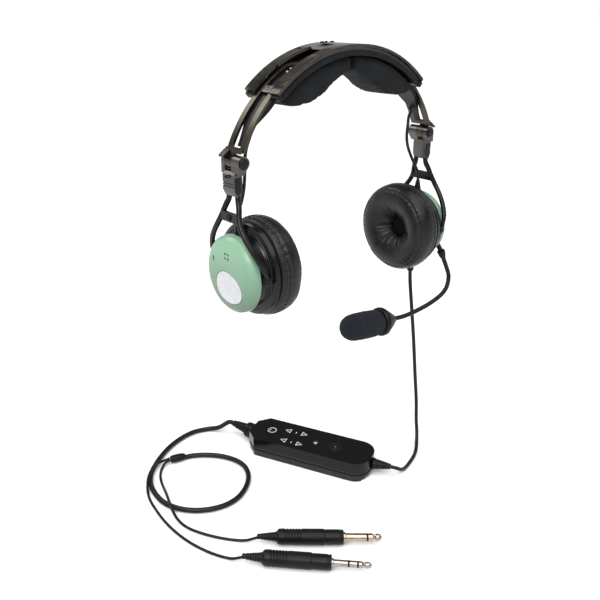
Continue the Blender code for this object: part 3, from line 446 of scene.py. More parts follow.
BRONZE = bronze()
GREY = grey_metal()
CAST = block_metal()
BLACK_METAL = black_metal()
PLASTIC = black_plastic()
GLOSS = gloss_plastic()
SATIN = gloss_plastic("satin_plastic", (0.004, 0.004, 0.0045), 0.24)
SHELL_GREY = shell_grey()
GREEN = green_cover()
BADGE = badge_silver()
LEATHER = leatherette()
KNIT = knit()
FOAM = foam()
JACKET = cord_jacket()
BOARD = circuit_board()
NICKEL = plated_brass("plated_nickel", (0.36, 0.31, 0.28))
BRASS = plated_brass("plated_brass", (0.42, 0.33, 0.26))
INK = flat_mark("white_ink", (0.80, 0.80, 0.82), 0.5)
# painted shade: near-black and matt, for the sheet that darkens the hole in each ear pad
DARK = flat_mark("painted_recess_shade", (0.0015, 0.0015, 0.0018), 0.8)
THREAD = flat_mark("stitch_thread", (0.06, 0.062, 0.066), 0.7)
LENS = flat_mark("indicator", (0.10, 0.11, 0.12), 0.25)


# ---------------------------------------------------------------- mesh helpers
def turns(count):
    """The angles of a whole turn in this many steps, in radians."""
    return [2 * math.pi * i / count for i in range(count)]


def bell(value, middle, width):
    """1 at the middle, falling smoothly to 0 on both sides."""
    return math.exp(-((value - middle) / width) ** 2)


def arc(centre_x, centre_y, radius, start, end, count):
    """Points of a circular arc between two angles in degrees."""
    angles = [math.radians(start + (end - start) * i / count) for i in range(count + 1)]
    return [(centre_x + radius * math.cos(a), centre_y + radius * math.sin(a)) for a in angles]


def band_sector(inner, outer, start, end, step=1.5):
    """The (x, z) outline of part of a ring about the headband's axis."""
    count = max(1, round(abs(end - start) / step))
    return arc(0, ARC_Z, outer, start, end, count) + arc(0, ARC_Z, inner, end, start, count)


def arc_length(angle, radius):
    """Distance along the arc from the crown to an angle above the horizontal."""
    return math.radians(90 - angle) * radius


def rounded_box(half_x, half_y, corner, count=6):
    """A rectangle's outline with round corners."""
    outline = []
    for x, y, start in ((1, 1, 0), (-1, 1, 90), (-1, -1, 180), (1, -1, 270)):
        outline += arc(x * (half_x - corner), y * (half_y - corner), corner, start, start + 90, count)
    return outline


def smooth_route(points, step):
    """Points a step apart along a smooth curve through the route's own points."""
    route = [Vector(p) for p in points]
    route = [route[0] * 2 - route[1], *route, route[-1] * 2 - route[-2]]
    fine = []
    for a, b, c, d in zip(route, route[1:], route[2:], route[3:]):
        span = (c - b).length
        before = (c - a) / ((b - a).length + span) * span
        after = (d - b) / ((d - c).length + span) * span
        pieces = max(2, round(span / step * 4))
        for i in range(pieces):
            t = i / pieces
            fine.append(b * (2 * t**3 - 3 * t**2 + 1) + before * (t**3 - 2 * t**2 + t)
                        + c * (3 * t**2 - 2 * t**3) + after * (t**3 - t**2))
    fine.append(route[-2])
    total = route_length(fine)
    count = max(2, round(total / step))
    spaced = [fine[0]]
    walked = 0.0
    for p, q in zip(fine, fine[1:]):
        length = (q - p).length
        while len(spaced) < count and walked + length >= total * len(spaced) / count:
            spaced.append(p.lerp(q, (total * len(spaced) / count - walked) / length))
        walked += length
    spaced.append(fine[-1])
    return spaced


def route_length(points):
    """The length of a path through these points."""
    return sum((q - p).length for p, q in zip(points, points[1:]))


def smooth_profile(points, step):
    """A lathe profile smoothed through its own points."""
    route = smooth_route([(r, h, 0) for r, h in points], step)
    return [(max(p.x, 0.0), p.y) for p in route]


def along(point, direction):
    """A place whose local Z points along the direction."""
    turn = Vector(direction).to_track_quat("Z", "Y").to_matrix().to_4x4()
    return Matrix.Translation(Vector(point)) @ turn


def on_module(u, v, z):
    """A place in the module's own axes: u towards its main-cord end, v across."""
    return MODULE @ Matrix.Translation((u, v, z))


def on_arc(angle, radius, y=0.0):
    """A place on the headband's arc whose local X runs along it, downwards, and local Z outwards."""
    a = math.radians(angle)
    place = Matrix.Rotation(math.pi / 2 - a, 4, "Y")
    place.translation = Vector((radius * math.cos(a), y, ARC_Z + radius * math.sin(a)))
    return place


def facing_out(x, y=0, z=0):
    """Local Z points out of the left cup, along +X."""
    return Matrix.Translation((x, y, z)) @ Matrix.Rotation(math.pi / 2, 4, "Y")


def facing_head(x):
    """Local Z points out of the left cup's pad, along -X."""
    return Matrix.Translation((x, 0, 0)) @ Matrix.Rotation(-math.pi / 2, 4, "Y")


def mesh_from(work):
    """A mesh of what has been built, which is then let go."""
    mesh = bpy.data.meshes.new("made")
    work.to_mesh(mesh)
    work.free()
    return mesh


def lathe(profile, steps=64, ring=False):
    """A mesh turned about Z from (radius, height) points."""
    work = bmesh.new()
    rings = []
    for radius, height in profile:
        if radius < 1e-6:
            rings.append([work.verts.new((0, 0, height))])
            continue
        rings.append([work.verts.new((radius * math.cos(a), radius * math.sin(a), height))
                      for a in turns(steps)])
    pairs = list(zip(rings, rings[1:]))
    if ring:
        pairs.append((rings[-1], rings[0]))
    for a, b in pairs:
        for i in range(steps):
            corners = [a[i % len(a)], a[(i + 1) % len(a)], b[(i + 1) % len(b)], b[i % len(b)]]
            corners = list(dict.fromkeys(corners))
            if len(corners) > 2:
                work.faces.new(corners)
    bmesh.ops.recalc_face_normals(work, faces=work.faces)
    return mesh_from(work)


def mesh_of_curve(curve):
    """The closed mesh of a curve, its caps welded to its sides."""
    scratch = linked("scratch", curve)
    evaluated = scratch.evaluated_get(bpy.context.evaluated_depsgraph_get())
    mesh = bpy.data.meshes.new_from_object(evaluated)
    bpy.data.objects.remove(scratch, do_unlink=True)
    work = bmesh.new()
    work.from_mesh(mesh)
    bmesh.ops.remove_doubles(work, verts=work.verts, dist=0.00001)
    bmesh.ops.recalc_face_normals(work, faces=work.faces)
    return mesh_from(work)


def slab(outlines, thick, place=LEFT):
    """A flat outline, with any holes, given a thickness along local Z."""
    curve = bpy.data.curves.new("slab", "CURVE")
    curve.dimensions = "2D"
    curve.fill_mode = "BOTH"
    curve.extrude = thick / 2
    for outline in outlines:
        spline = curve.splines.new("POLY")
        spline.points.add(len(outline) - 1)
        for point, (x, y) in zip(spline.points, outline):
            point.co = (x, y, 0.0, 1.0)
        spline.use_cyclic_u = True
    return placed(mesh_of_curve(curve), place)


def upright_slab(outline, *ends):
    """An outline of (x, z) points that runs between two values of y."""
    front, rear = sorted(ends)
    return slab([outline], rear - front, Matrix.Translation((0, (front + rear) / 2, 0)) @ UPRIGHT)


def bent_slab(outlines, thick, radius, step=0.0030):
    """An outline of (arc length from the crown, y) points, bent to the headband's arc."""
    work = bmesh.new()
    work.from_mesh(slab(outlines, thick))
    bmesh.ops.dissolve_limit(work, angle_limit=0.01, verts=work.verts, edges=work.edges)
    low = min(x for outline in outlines for x, _ in outline)
    high = max(x for outline in outlines for x, _ in outline)
    count = max(2, round((high - low) / step))
    for i in range(1, count):
        everything = work.verts[:] + work.edges[:] + work.faces[:]
        cut_at = low + (high - low) * i / count
        bmesh.ops.bisect_plane(work, geom=everything, plane_co=(cut_at, 0, 0), plane_no=(1, 0, 0),
                               dist=0.00002)
    for vert in work.verts:
        turn = vert.co.x / radius
        reach = radius + vert.co.z
        vert.co = (reach * math.sin(turn), vert.co.y, ARC_Z + reach * math.cos(turn))
    return mesh_from(work)


def merged(*meshes):
    """Several meshes as one."""
    work = bmesh.new()
    for part in meshes:
        work.from_mesh(part)
    return mesh_from(work)


def placed(mesh, place):
    """The mesh, moved to a place."""
    mesh.transform(place)
    return mesh


def applied(obj):
    """Turns an object's modifiers into its mesh."""
    evaluated = obj.evaluated_get(bpy.context.evaluated_depsgraph_get())
    mesh = bpy.data.meshes.new_from_object(evaluated)
    obj.modifiers.clear()
    obj.data = mesh
    return obj


def combined(mesh, operation, *tools):
    """The mesh with each tool joined to it (UNION) or cut from it (DIFFERENCE)."""
    base = linked("scratch", mesh)
    helpers = []
    for tool in tools:
        helper = linked("scratch", tool)
        step = base.modifiers.new("step", "BOOLEAN")
        step.operation, step.object, step.solver = operation, helper, "EXACT"
        helpers.append(helper)
    bpy.context.view_layer.update()
    result = applied(base).data
    for obj in (base, *helpers):
        bpy.data.objects.remove(obj, do_unlink=True)
    return result


def piece(name, mesh, material, body, place=LEFT, stands_for=None, edge=0.0, segments=2):
    """A finished piece: its mesh in the row's frame, softened edges, a material and a body."""
    mesh.transform(place)
    if place.determinant() < 0:
        mesh.flip_normals()
    mesh.materials.clear()
    mesh.materials.append(material)
    for face in mesh.polygons:
        face.use_smooth = True
        face.material_index = 0
    made = linked(name, mesh)
    if edge:
        bevel = made.modifiers.new("edges", "BEVEL")
        bevel.width, bevel.segments = edge, segments
        bevel.limit_method, bevel.angle_limit = "ANGLE", math.radians(32)
        bevel.use_clamp_overlap = True
        bevel.miter_outer = "MITER_ARC"
        made.modifiers.new("normals", "WEIGHTED_NORMAL").keep_sharp = False
    return tagged(made, body, stands_for)


def tagged(made, body, stands_for):
    """The piece with its body and the CAD node that it stands for."""
    if body:
        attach(made, body)
    if stands_for:
        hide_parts(stands_for)
    return made


def curve_piece(name, points, radius, material, body, stands_for):
    """A tube that stays a curve."""
    curve = bpy.data.curves.new(name, "CURVE")
    curve.dimensions = "3D"
    curve.bevel_depth = radius
    curve.bevel_resolution = 5
    curve.use_fill_caps = True
    spline = curve.splines.new("POLY")
    spline.points.add(len(points) - 1)
    for point, place in zip(spline.points, points):
        point.co = (*place, 1.0)
    curve.materials.append(material)
    return tagged(linked(name, curve), body, stands_for)


def repaint(node, material):
    """A carried-over CAD node gets a procedural finish."""
    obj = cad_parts[node]
    for holder in obj.material_slots:
        holder.material = material
    if not obj.material_slots:
        obj.data.materials.append(material)


# ---------------------------------------------------------------- cords
MAIN_CORD, PLUG_CORD, LEAD_CORD, CROSS_CORD = 0.0034, 0.0046, 0.0023, 0.0025
MAIN_ROUTE = [(0.0920, -0.0030, -0.0443), (0.0920, -0.0038, -0.0550), (0.0925, -0.0076, -0.0820),
              (0.0938, -0.0110, -0.1110), (0.0960, -0.0140, -0.1480), (0.0975, -0.0168, -0.1780),
              (0.0970, -0.0190, -0.1990), (0.0945, -0.0228, -0.2105), (0.0882, -0.0285, -0.2170),
              (0.0790, -0.0355, -0.2183), (0.0700, -0.0405, -0.2183), (0.0600, -0.0444, -0.2183),
              (0.0505, -0.0474, -0.2180), (0.0425, -0.0492, -0.2156),
              on_module(MODULE_HALF + 0.0213, 0.0058, -0.2112).translation,
              on_module(MODULE_HALF + 0.0173, 0.0050, -0.2107).translation]
PLUG_ROUTE = [on_module(-MODULE_HALF - 0.0266, 0.0063, -0.2087).translation,
              on_module(-MODULE_HALF - 0.0322, 0.0072, -0.2092).translation, (-0.0460, 0.1180, -0.2150),
              (-0.0530, 0.1260, -0.2176), (-0.0680, 0.1310, -0.2176), (-0.0860, 0.1290, -0.2176),
              (-0.1058, 0.1210, -0.2176), (-0.1290, 0.1045, -0.2176), (-0.1415, 0.0880, -0.2176),
              (-0.1467, 0.0689, -0.2176), (-0.1460, 0.0520, -0.2176), (-0.1390, 0.0370, -0.2176),
              (-0.1275, 0.0256, -0.2176), (-0.1120, 0.0186, -0.2176), (-0.0966, 0.0184, -0.2176),
              (-0.0825, 0.0246, -0.2176), (-0.0700, 0.0360, -0.2176), (-0.0632, 0.0500, -0.2176),
              (-0.0635, 0.0640, -0.2176), (-0.0700, 0.0785, -0.2176), (-0.0800, 0.0900, -0.2176),
              (-0.0905, 0.0975, -0.2176), (-0.0977, 0.1003, -0.2176)]
LEAD_HIGH = FLOOR + PLUG_CORD + LEAD_CORD / 2 + 0.0010
LEAD_LOW = FLOOR + LEAD_CORD / 2 + 0.0001
PHONES_LEAD = [(-0.1115, 0.1030, -0.2159), (-0.1168, 0.1036, -0.2170), (-0.1229, 0.0998, LEAD_LOW),
               (-0.1290, 0.0920, LEAD_LOW), (-0.1330, 0.0835, LEAD_LOW), (-0.1362, 0.0740, -0.2180),
               (-0.1405, 0.0620, -0.2148), (-0.1448, 0.0500, LEAD_HIGH), (-0.1478, 0.0400, -0.2148),
               (-0.1490, 0.0290, -0.2180), (-0.1478, 0.0170, LEAD_LOW), (-0.1430, 0.0040, LEAD_LOW),
               (-0.1360, -0.0085, LEAD_LOW), (-0.1280, -0.0195, LEAD_LOW), (-0.1205, -0.0280, -0.2180),
               (-0.1150, -0.0337, -0.2150)]
MIC_LEAD = [(-0.1107, 0.1060, -0.2159), (-0.1175, 0.1072, -0.2166), (-0.1262, 0.1045, -0.2142),
            (-0.1350, 0.0975, LEAD_HIGH), (-0.1425, 0.0900, -0.2142), (-0.1490, 0.0800, -0.2178),
            (-0.1535, 0.0680, LEAD_LOW), (-0.1562, 0.0530, LEAD_LOW), (-0.1580, 0.0370, LEAD_LOW),
            (-0.1580, 0.0190, LEAD_LOW), (-0.1558, 0.0010, LEAD_LOW), (-0.1515, -0.0150, LEAD_LOW),
            (-0.1465, -0.0270, LEAD_LOW), (-0.1410, -0.0370, -0.2180), (-0.1370, -0.0432, -0.2150)]
CORD_STEP = 0.0022


def free_cord(name, points, diameter):
    """A cord's jacket along its route, in place of the CAD cord of that name."""
    route = smooth_route(points, CORD_STEP)
    made = curve_piece(name + "_jacket", route, diameter / 2, JACKET, ROOT, name)


def swept(route, radius_at, rounds=20):
    """A closed tube along a route whose radius is radius_at(distance from its start)."""
    route = [Vector(p) for p in route]
    work = bmesh.new()
    rings = []
    walked = 0.0
    normal = (route[1] - route[0]).orthogonal().normalized()
    for i, point in enumerate(route):
        tangent = (route[min(i + 1, len(route) - 1)] - route[max(i - 1, 0)]).normalized()
        normal = (normal - tangent * normal.dot(tangent)).normalized()
        side = tangent.cross(normal)
        walked += (point - route[max(i - 1, 0)]).length
        radius = radius_at(walked)
        rings.append([work.verts.new(point + (normal * math.cos(a) + side * math.sin(a)) * radius)
                      for a in turns(rounds)])
    for a, b in zip(rings, rings[1:]):
        for k in range(rounds):
            work.faces.new((a[k], a[(k + 1) % rounds], b[(k + 1) % rounds], b[k]))
    work.faces.new(rings[0])
    work.faces.new(rings[-1])
    bmesh.ops.recalc_face_normals(work, faces=work.faces)
    return mesh_from(work)


def steady(radius):
    """The same radius all along a swept tube."""
    return lambda distance: radius


def beads(places, size):
    """Small ellipsoids, one at each place, as one mesh."""
    work = bmesh.new()
    for place in places:
        bmesh.ops.create_icosphere(work, subdivisions=2, radius=1.0,
                                   matrix=place @ Matrix.Diagonal((*size, 1)))
    return mesh_from(work)


def screw_head(radius, height):
    """A domed screw head with a socket, standing on z = 0."""
    dome = smooth_profile([(0, height), (radius * 0.55, height * 0.98), (radius * 0.88, height * 0.72),
                           (radius, height * 0.30)], radius * 0.14)
    socket = slab([arc(0, 0, radius * 0.45, 0, 300, 5)], height, Matrix.Translation((0, 0, height * 0.9)))
    return combined(lathe(dome + [(radius, 0), (0, 0)], 32), "DIFFERENCE", socket)


def main_cord():
    """The cord from the left cup to the module."""
    inside = on_module(MODULE_HALF + 0.0120, 0.0040, -0.2102).translation
    route = smooth_route([(0.0920, -0.0030, -0.0424), *MAIN_ROUTE, inside], CORD_STEP)
    made = piece("main_cord_jacket", swept(route, steady(MAIN_CORD / 2)), JACKET, None,
                 stands_for="main_cord")
    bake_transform(made)


# ---------------------------------------------------------------- reliefs, splitter and plugs
def ribbed(length, wide, narrow, first, pitch, depth):
    """A tapering relief's profile, from its narrow end down to 0, with grooves cut round it."""
    outline = [(0, 0), (wide * 0.94, 0), (wide, 0.0005), (wide, first)]
    height = first
    while height + pitch < length - 0.0012:
        radius = wide + (narrow - wide) * (height / length)
        outline += [(radius, height + pitch * 0.08), (radius, height + pitch * 0.52),
                    (radius - depth, height + pitch * 0.60), (radius - depth, height + pitch * 0.95)]
        height += pitch
    outline += [(narrow, length - 0.0010), (narrow * 0.94, length), (0, length)]
    return outline[::-1]


def cord_fittings():
    """Strain reliefs at the cup and at both ends of the module, and the splitter."""
    profile = [(0, 0.0012), (0.0038, 0.0012), (0.0042, 0.0007), (0.0042, -0.0018), (0.0038, -0.0023),
               (0.0033, -0.0025), (0.0033, -0.0032), (0.0030, -0.0034), (0.0030, -0.0042),
               (0.0032, -0.0044), (0.0032, -0.0052), (0.0029, -0.0054), (0.0029, -0.0060),
               (0.0030, -0.0062), (0.0028, -0.0071), (0.0023, -0.0074), (0, -0.0074)]
    gland = piece("main_cord_boot", lathe(profile, 40), PLASTIC, "left_cup",
                  Matrix.Translation((0.0920, -0.0030, -0.0370)), "main_cord_gland", edge=0.00012)
    place = on_module(MODULE_HALF + 0.0002, 0.0020, -0.2100) @ along((0, 0, 0), (0.98, 0.19, -0.04))
    boot = piece("main_cord_module_boot", lathe(ribbed(0.0166, 0.0054, 0.0027, 0.0016, 0.0021, 0.0007), 40),
                 PLASTIC, ROOT, place, "main_cord_relief", edge=0.0001)
    place = on_module(-MODULE_HALF - 0.0004, 0.0020, -0.2094) @ along((0, 0, 0), (-0.985, 0.17, 0.03))
    profile = [(0, 0.0092), (0.0064, 0.0092), (0.0074, 0.0084), (0.0076, 0.0060), (0.0070, 0.0056),
               (0.0070, 0.0050), (0.0076, 0.0046), (0.0076, 0.0010), (0.0070, 0), (0, 0)]
    collar = piece("plug_cord_collar", lathe(profile, 48), PLASTIC, ROOT, place, edge=0.00015)
    tail = piece("plug_cord_boot", lathe(ribbed(0.0258, 0.0060, 0.0033, 0.0088, 0.0024, 0.0008), 40),
                 PLASTIC, ROOT, place, "plug_cord_relief", edge=0.0001)
    fork = lathe([(0, 0.0133), (0.0027, 0.0133), (0.0036, 0.0127), (0.0040, 0.0105), (0.0041, 0.0050),
                  (0.0036, 0.0012), (0.0030, -0.0006), (0.0025, -0.0010), (0, -0.0010)], 40)
    fork.transform(Matrix.Diagonal((1.0, 0.84, 1.0, 1.0)))
    place = along((-0.0980, 0.1004, -0.2163), (-0.955, 0.297, 0.0))
    splitter = piece("splitter_moulding", fork, PLASTIC, ROOT, place, "cord_splitter", edge=0.0002)
    return gland, boot, collar, tail, splitter


PLUG_LIE = FLOOR + 0.0066
PHONES_PLUG = ((-0.1140, -0.0345), (-0.0386, -0.1009))
MIC_PLUG = ((-0.1360, -0.0442), (-0.0672, -0.1165))
RELIEF, GRIP, SHAFT = 0.0165, 0.0530, 0.0307    # lengths of a plug's boot, grip and shaft


def inside_plug(start, end):
    """The last stretch of a lead, through its plug's handle."""
    start, end = Vector((*start, PLUG_LIE)), Vector((*end, PLUG_LIE))
    ahead = (end - start).normalized()
    return [start + ahead * reach for reach in (0.0040, 0.0200, 0.0400, 0.0620)]


def plug(name, start, end, radius, rings):
    """A plug lying on its handle: ribbed boot, knurled grip with a step, plated shaft."""
    start = Vector((*start, PLUG_LIE))
    place = along(start, Vector((*end, PLUG_LIE)) - start)
    boot = [(r, RELIEF - h) for r, h in ribbed(RELIEF, 0.0041, 0.0022, 0.0012, 0.0021, 0.0006)]
    return (piece(f"{name}_plug_boot", lathe(boot[::-1], 36), PLASTIC, ROOT, place, edge=0.00008),
            piece(f"{name}_plug_grip", lathe(grip_profile()[::-1], 56), PLASTIC, ROOT, place,
                  f"{name}_plug_handle", edge=0.00012),
            piece(f"{name}_plug_pin", lathe(shaft_profile(radius, sorted(rings))[::-1], 40),
                  BRASS if len(rings) == 1 else NICKEL, ROOT, place, f"{name}_plug_shaft", edge=0.0001),
            piece(f"{name}_plug_rings", merged(*[insulating_band(radius, ring) for ring in rings]),
                  PLASTIC, ROOT, place))


def grip_profile():
    """The handle: six fine grooves, a plain length, a step, and a groove near its end."""
    profile = [(0, RELIEF - 0.0006), (0.0046, RELIEF - 0.0006), (0.0056, RELIEF),
               (0.0063, RELIEF + 0.0014), (0.0064, RELIEF + 0.0040)]
    height = RELIEF + 0.0060
    while height < RELIEF + 0.0200:
        profile += [(0.0064, height), (0.0059, height + 0.0003), (0.0059, height + 0.0009),
                    (0.0064, height + 0.0012)]
        height += 0.0024
    end = RELIEF + GRIP
    return profile + [(0.0064, RELIEF + 0.0365), (0.0061, RELIEF + 0.0376), (0.0058, RELIEF + 0.0379),
                      (0.0058, RELIEF + 0.0386), (0.0060, RELIEF + 0.0390), (0.0060, end - 0.0030),
                      (0.0056, end - 0.0027), (0.0056, end - 0.0020), (0.0060, end - 0.0017),
                      (0.0058, end - 0.0004), (0.0050, end), (0, end)]


def shaft_profile(radius, rings):
    """The plated shaft, necked at each insulating ring and before its round tip."""
    base = RELIEF + GRIP
    tip = base + SHAFT
    profile = [(0, base - 0.0005), (radius * 1.28, base - 0.0005), (radius * 1.28, base + 0.0012),
               (radius * 1.20, base + 0.0015), (radius, base + 0.0017)]
    for ring in rings:
        profile += [(radius, base + ring - 0.0007), (radius * 0.93, base + ring - 0.0006),
                    (radius * 0.93, base + ring + 0.0006), (radius, base + ring + 0.0007)]
    return profile + [(radius, tip - 0.0076), (radius * 0.66, tip - 0.0062), (radius * 0.92, tip - 0.0046),
                      (radius * 0.98, tip - 0.0034), (radius * 0.80, tip - 0.0014),
                      (radius * 0.45, tip - 0.0003), (0, tip)]


def insulating_band(radius, ring):
    """The black ring in a neck of the shaft, between two of its contacts."""
    low, high = RELIEF + GRIP + ring - 0.00055, RELIEF + GRIP + ring + 0.00055
    return lathe([(radius * 0.90, high), (radius, high), (radius, low), (radius * 0.90, low)], 40, ring=True)


def cord_set():
    """The cords, with what hangs on each of them."""
    gland, boot, collar, tail, splitter = cord_fittings()
    phones = plug("phones", *PHONES_PLUG, 0.00318, (0.0190,))
    mic = plug("mic", *MIC_PLUG, 0.00262, (0.0200, 0.0130))
    main_cord()
    inside = on_module(-MODULE_HALF - 0.0200, 0.0052, -0.2087).translation
    free_cord("plug_cord", [inside, *PLUG_ROUTE], PLUG_CORD)
    free_cord("phones_lead", PHONES_LEAD + inside_plug(*PHONES_PLUG), LEAD_CORD)
    free_cord("mic_lead", MIC_LEAD + inside_plug(*MIC_PLUG), LEAD_CORD)


# ---------------------------------------------------------------- headband
# Each stud's angle on the band, y and radius.
CROWN_STUDS = ((92.6, 0.0140, 0.0017), (90.2, 0.0146, 0.0011), (87.4, 0.0140, 0.0017))


def headband():
    """Two rails joined by a bridge at the crown, over a grey channel that carries the pads."""
    end = arc_length(BAND_END, BAND_RADIUS)
    corner = arc(end - 0.0015, BAND_HALF_WIDTH - 0.0015, 0.0015, 0, 90, 4)
    half = [(BRIDGE_HALF, RAIL_INNER), (end, RAIL_INNER), *corner, (0.0, BAND_HALF_WIDTH)]
    rear = half + [(-x, y) for x, y in reversed(half[:-1])]
    front = [(-x, -y) for x, y in rear]
    window = [(x + 0.0130, y) for x, y in rounded_box(0.0040, 0.0045, 0.0010)]
    slit = [(x + 0.0185, y) for x, y in rounded_box(0.0005, 0.0040, 0.0004, 2)]
    holes = [window, slit, [(-x, y) for x, y in window], [(-x, y) for x, y in slit]]
    band = bent_slab([rear + front, *holes], BAND_THICK, BAND_RADIUS)
    piece("headband_rails", band, BRONZE, "headband", stands_for="headband_frame", edge=0.0006, segments=3)
    pad_channel()
    for name, side in SIDES:
        for row, sign in ROWS:
            cap = band_sector(BAND_RADIUS - 0.0056, BAND_RADIUS - 0.0011, BAND_END - 0.9, BAND_END + 1.1,
                              0.7)
            cap = upright_slab(cap, sign * (RAIL_INNER + 0.0004), sign * (BAND_HALF_WIDTH - 0.0004))
            piece(f"{name}_{row}_rail_cap", cap, PLASTIC, "headband", side, edge=0.0012, segments=4)
    for number, (angle, y, size) in enumerate(CROWN_STUDS):
        stud = lathe(smooth_profile([(0, 0.0011), (size * 0.7, 0.0010), (size, 0.0005)], 0.0002)
                     + [(size, 0), (0, 0)], 28)
        piece(f"crown_stud_{number}", stud, PLASTIC, "headband",
              on_arc(angle, BAND_RADIUS + BAND_THICK / 2 - 0.0002, y))


def pad_channel():
    """The grey tray under the rails, its two side walls, and a knit edging along each."""
    long = arc_length(CARRIER_END, CARRIER_RADIUS)
    reach = CHANNEL_Y + CHANNEL_THICK
    tray = bent_slab([[(-long, -reach), (long, -reach), (long, reach), (-long, reach)]],
                     CARRIER_THICK, CARRIER_RADIUS)
    outer = BAND_RADIUS - BAND_THICK / 2 - 0.0001
    wall = band_sector(CARRIER_RADIUS, outer, BAND_END + 0.5, 179.5 - BAND_END)
    tray = combined(tray, "UNION", *[upright_slab(wall, sign * CHANNEL_Y, sign * (reach - 0.00005))
                                     for sign in (1, -1)])
    piece("pad_channel", tray, GREY, "headband", stands_for="pad_carrier", edge=0.0003)
    edging = band_sector(CARRIER_RADIUS - 0.0006, outer - 0.0021, BAND_END + 1.5, 178.5 - BAND_END)
    for row, sign in ROWS:
        piece(f"pad_edging_{row}", upright_slab(edging, sign * (reach + 0.0001), sign * (reach + 0.0009)),
              KNIT, "headband", edge=0.0003)


def slider_stop(name, side):
    """The cast block inside a slider's slot, which ends its travel, and the screw in it."""
    outer = SLIDER_RADIUS + SLIDER_THICK / 2 + 0.0003
    block = upright_slab(band_sector(CARRIER_RADIUS + CARRIER_THICK / 2, outer, STOP_LOW, STOP_HIGH, 0.6),
                         -STOP_HALF_WIDTH, STOP_HALF_WIDTH)
    piece(f"{name}_stop_block", block, CAST, "headband", side, f"{name}_slider_stop", edge=0.0005,
          segments=3)
    piece(f"{name}_stop_screw", screw_head(0.0019, 0.0008), CAST, "headband",
          side @ on_arc((STOP_LOW + STOP_HIGH) / 2, outer - 0.0002))


PAD_INNER = [(88.9, 0.0915), (84.0, 0.0888), (77.5, 0.0852), (70.0, 0.0820), (64.0, 0.0812),
             (58.5, 0.0832), (54.0, 0.0868), (50.5, 0.0915), (48.2, 0.0970)]


def puffed(mesh, voxel, most):
    """The mesh remeshed evenly, swollen by a short cloth simulation, and subdivided once."""
    obj = linked("scratch", mesh)
    remesh = obj.modifiers.new("voxels", "REMESH")
    remesh.mode = "VOXEL"
    remesh.voxel_size = voxel
    bpy.context.view_layer.update()
    applied(obj)
    rest = [vert.co.copy() for vert in obj.data.vertices]
    cloth = obj.modifiers.new("cloth", "CLOTH")
    cloth.settings.use_pressure = True
    cloth.settings.uniform_pressure_force = 4.0
    cloth.settings.effector_weights.gravity = 0.0
    cloth.point_cache.frame_end = 20
    for step in range(1, 21):
        bpy.context.scene.frame_set(step)
    applied(obj)
    bpy.context.scene.frame_set(1)
    for vert, start in zip(obj.data.vertices, rest):
        moved = vert.co - start
        vert.co = start + moved.normalized() * min(moved.length, most)
    obj.modifiers.new("round", "SUBSURF").levels = 2
    bpy.context.view_layer.update()
    applied(obj)
    result = obj.data
    bpy.data.objects.remove(obj, do_unlink=True)
    return result


def head_pad(name, side):
    """A knitted wedge of foam: full at its outer end, with shallow creases on its inner face."""
    inner = smooth_route([(r * math.cos(math.radians(a)), 0, ARC_Z + r * math.sin(math.radians(a)))
                          for a, r in PAD_INNER], 0.0015)
    outline = arc(0, ARC_Z, PAD_RADIUS_OUT - 0.0004, 47.9, 88.7, 40)
    outline += [(p.x, p.z + 0.0002) for p in inner]
    half = PAD_HALF_WIDTH - 0.0006
    pad = puffed(upright_slab(outline, -half, half), 0.0022, 0.0013)
    for vert in pad.vertices:
        x, y, z = vert.co
        angle = math.degrees(math.atan2(z - ARC_Z, x))
        radius = math.hypot(x, z - ARC_Z)
        inward = min(1.0, max(0.0, (PAD_RADIUS_OUT - 0.006 - radius) / 0.008))
        crease = noise.noise(Vector((angle * 0.16, y * 55, 3.1)))
        fold = bell(angle + crease * 3, 57.5, 1.4) + 0.6 * bell(angle + crease * 4, 66.5, 1.6)
        push = (0.0006 * crease - 0.0009 * fold) * inward
        scale = 1 - push / radius
        vert.co = (x * scale, y, ARC_Z + (z - ARC_Z) * scale)
    made = piece(f"{name}_head_pad_knit", pad, KNIT, "headband", side, f"{name}_head_pad")


# ---------------------------------------------------------------- sliders and fold hinges
BACKING_LOW = 44.0          # the slot is closed behind from here up, and open below
BACKING_HALF_WIDTH = 0.0060


def round_ended(low, high, half, count):
    """A strip's outline between two angles on the band, square at the low one, round at the high."""
    low, high = arc_length(low, SLIDER_RADIUS), arc_length(high, SLIDER_RADIUS)
    angles = [math.radians(180 * i / count) for i in range(count + 1)]
    return [(low, -half), (low, half)] + [(high + half - half * math.sin(a), half * math.cos(a))
                                          for a in angles]


def slider(name, side):
    """The slotted strip with its foot, the guide under it and the cable past the hinge."""
    body = f"{name}_slider"
    strip = bent_slab([round_ended(SLIDER_LOW, SLIDER_HIGH, SLIDER_HALF_WIDTH, 32),
                       round_ended(SLOT_LOW, SLOT_HIGH, SLOT_HALF_WIDTH, 24)], SLIDER_THICK, SLIDER_RADIUS)
    piece(f"{name}_slider_metal", strip, BRONZE, body, side, f"{name}_slider_strip", edge=0.0005,
          segments=3)
    under = SLIDER_RADIUS - SLIDER_THICK / 2
    low, high = arc_length(BACKING_LOW, SLIDER_RADIUS), arc_length(SLOT_HIGH, SLIDER_RADIUS) + 0.0040
    wide = BACKING_HALF_WIDTH
    backing = bent_slab([[(low, -wide), (low, wide), (high, wide), (high, -wide)]], 0.0007, under - 0.0004)
    piece(f"{name}_slot_backing", backing, PLASTIC, body, side, edge=0.0001)
    for number, angle in enumerate((61.5, 63.6)):
        place = on_arc(angle, under - 0.0001)
        piece(f"{name}_slot_screw_{number}", screw_head(0.0014, 0.0012), NICKEL, body, side @ place)
    foot(name, side, body)
    guide(name, side)
    cable(name, side)


